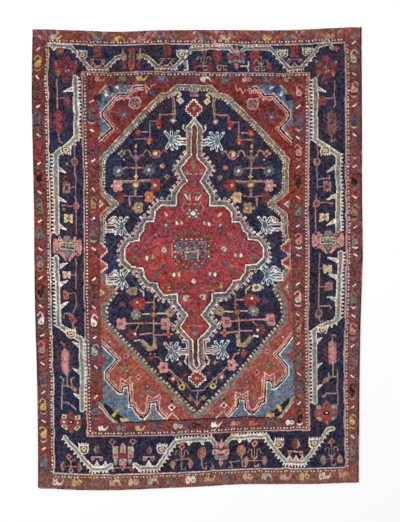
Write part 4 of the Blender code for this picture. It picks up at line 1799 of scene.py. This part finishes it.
def wool_material(name, fibre_scale, fibre_depth, sheen):
    """Wool: the colour of each knot or turn of yarn, with fibres mottling it."""
    material, tree, shader = node_material(name)
    place = add_node(tree, "ShaderNodeTexCoord")
    yarn = add_node(tree, "ShaderNodeAttribute", attribute_name="yarn")
    fibre = add_node(tree, "ShaderNodeTexNoise", Scale=fibre_scale, Detail=3.0, Roughness=0.6)
    tree.links.new(place.outputs["Object"], fibre.inputs["Vector"])
    shade = add_node(tree, "ShaderNodeMapRange")
    shade.inputs["To Min"].default_value = 0.80
    shade.inputs["To Max"].default_value = 1.20
    tree.links.new(fibre.outputs["Fac"], shade.inputs["Value"])
    mix = add_node(tree, "ShaderNodeVectorMath", operation="SCALE")
    tree.links.new(yarn.outputs["Color"], mix.inputs[0])
    tree.links.new(shade.outputs["Result"], mix.inputs["Scale"])
    tree.links.new(mix.outputs["Vector"], shader.inputs["Base Color"])
    bump = add_node(tree, "ShaderNodeBump", Strength=0.5, Distance=fibre_depth)
    tree.links.new(fibre.outputs["Fac"], bump.inputs["Height"])
    tree.links.new(bump.outputs["Normal"], shader.inputs["Normal"])
    shader.inputs["Roughness"].default_value = 0.92
    shader.inputs["Specular IOR Level"].default_value = 0.05
    shader.inputs["Sheen Weight"].default_value = sheen
    shader.inputs["Sheen Roughness"].default_value = 0.6
    return material


# ---- floor, light and camera
def make_floor():
    material, tree, shader = node_material("pale_floor")
    grain = add_node(tree, "ShaderNodeTexNoise", Scale=3.0)
    ramp = add_node(tree, "ShaderNodeMapRange")
    ramp.inputs["To Min"].default_value = 0.96
    ramp.inputs["To Max"].default_value = 0.98
    tree.links.new(grain.outputs["Fac"], ramp.inputs["Value"])
    tree.links.new(ramp.outputs["Result"], shader.inputs["Base Color"])
    shader.inputs["Roughness"].default_value = 0.9
    mesh = bpy.data.meshes.new("floor")
    level = CAD_BOX[0][2]
    corners = [(x * FLOOR_HALF, y * FLOOR_HALF, level) for x, y in ((-1, -1), (1, -1), (1, 1), (-1, 1))]
    mesh.from_pydata(corners, [], [(0, 1, 2, 3)])
    mesh.materials.append(material)
    floor = bpy.data.objects.new("floor", mesh)
    bpy.context.scene.collection.objects.link(floor)


def make_light():
    world = bpy.data.worlds.new("soft_studio")
    world.use_nodes = True
    background = world.node_tree.nodes["Background"]
    background.inputs["Color"].default_value = (1, 1, 1, 1)
    background.inputs["Strength"].default_value = WORLD_LIGHT
    bpy.context.scene.world = world
    data = bpy.data.lights.new("window", "AREA")
    data.shape = "SQUARE"
    data.size = 4.0
    data.energy = WINDOW_LIGHT
    lamp = bpy.data.objects.new("window", data)
    lamp.location = (-2.2, 2.6, 5.5)
    lamp.rotation_euler = (Vector((0, 0, 0)) - lamp.location).to_track_quat("-Z", "Y").to_euler()
    bpy.context.scene.collection.objects.link(lamp)


def make_camera():
    middle = [(a + b) / 2 for a, b in zip(*CAD_BOX)]
    data = bpy.data.cameras.new("camera")
    data.sensor_fit = "VERTICAL"
    data.sensor_height = SENSOR_HEIGHT
    data.lens = LENS
    camera = bpy.data.objects.new("camera", data)
    rise = VIEW_HEIGHT * LENS / SENSOR_HEIGHT
    camera.location = (middle[0] + VIEW_RIGHT, middle[1] + VIEW_UP, CAD_BOX[1][2] + rise)
    bpy.context.scene.collection.objects.link(camera)
    bpy.context.scene.camera = camera


colours = colour_knots(draw_chart())
outline = Outline("rug_body")
wool = wool_material("knotted_wool", 900.0, 0.0006, 0.03)
wrap_wool = wool_material("wrapped_wool", 700.0, 0.0005, 0.03)
strips = make_pile(outline, colours, wool)
edges = make_edges(wrap_wool)
back = make_back(outline, colours, wrap_wool)
make_floor()
make_light()
make_camera()
bpy.context.scene.view_settings.view_transform = "Standard"
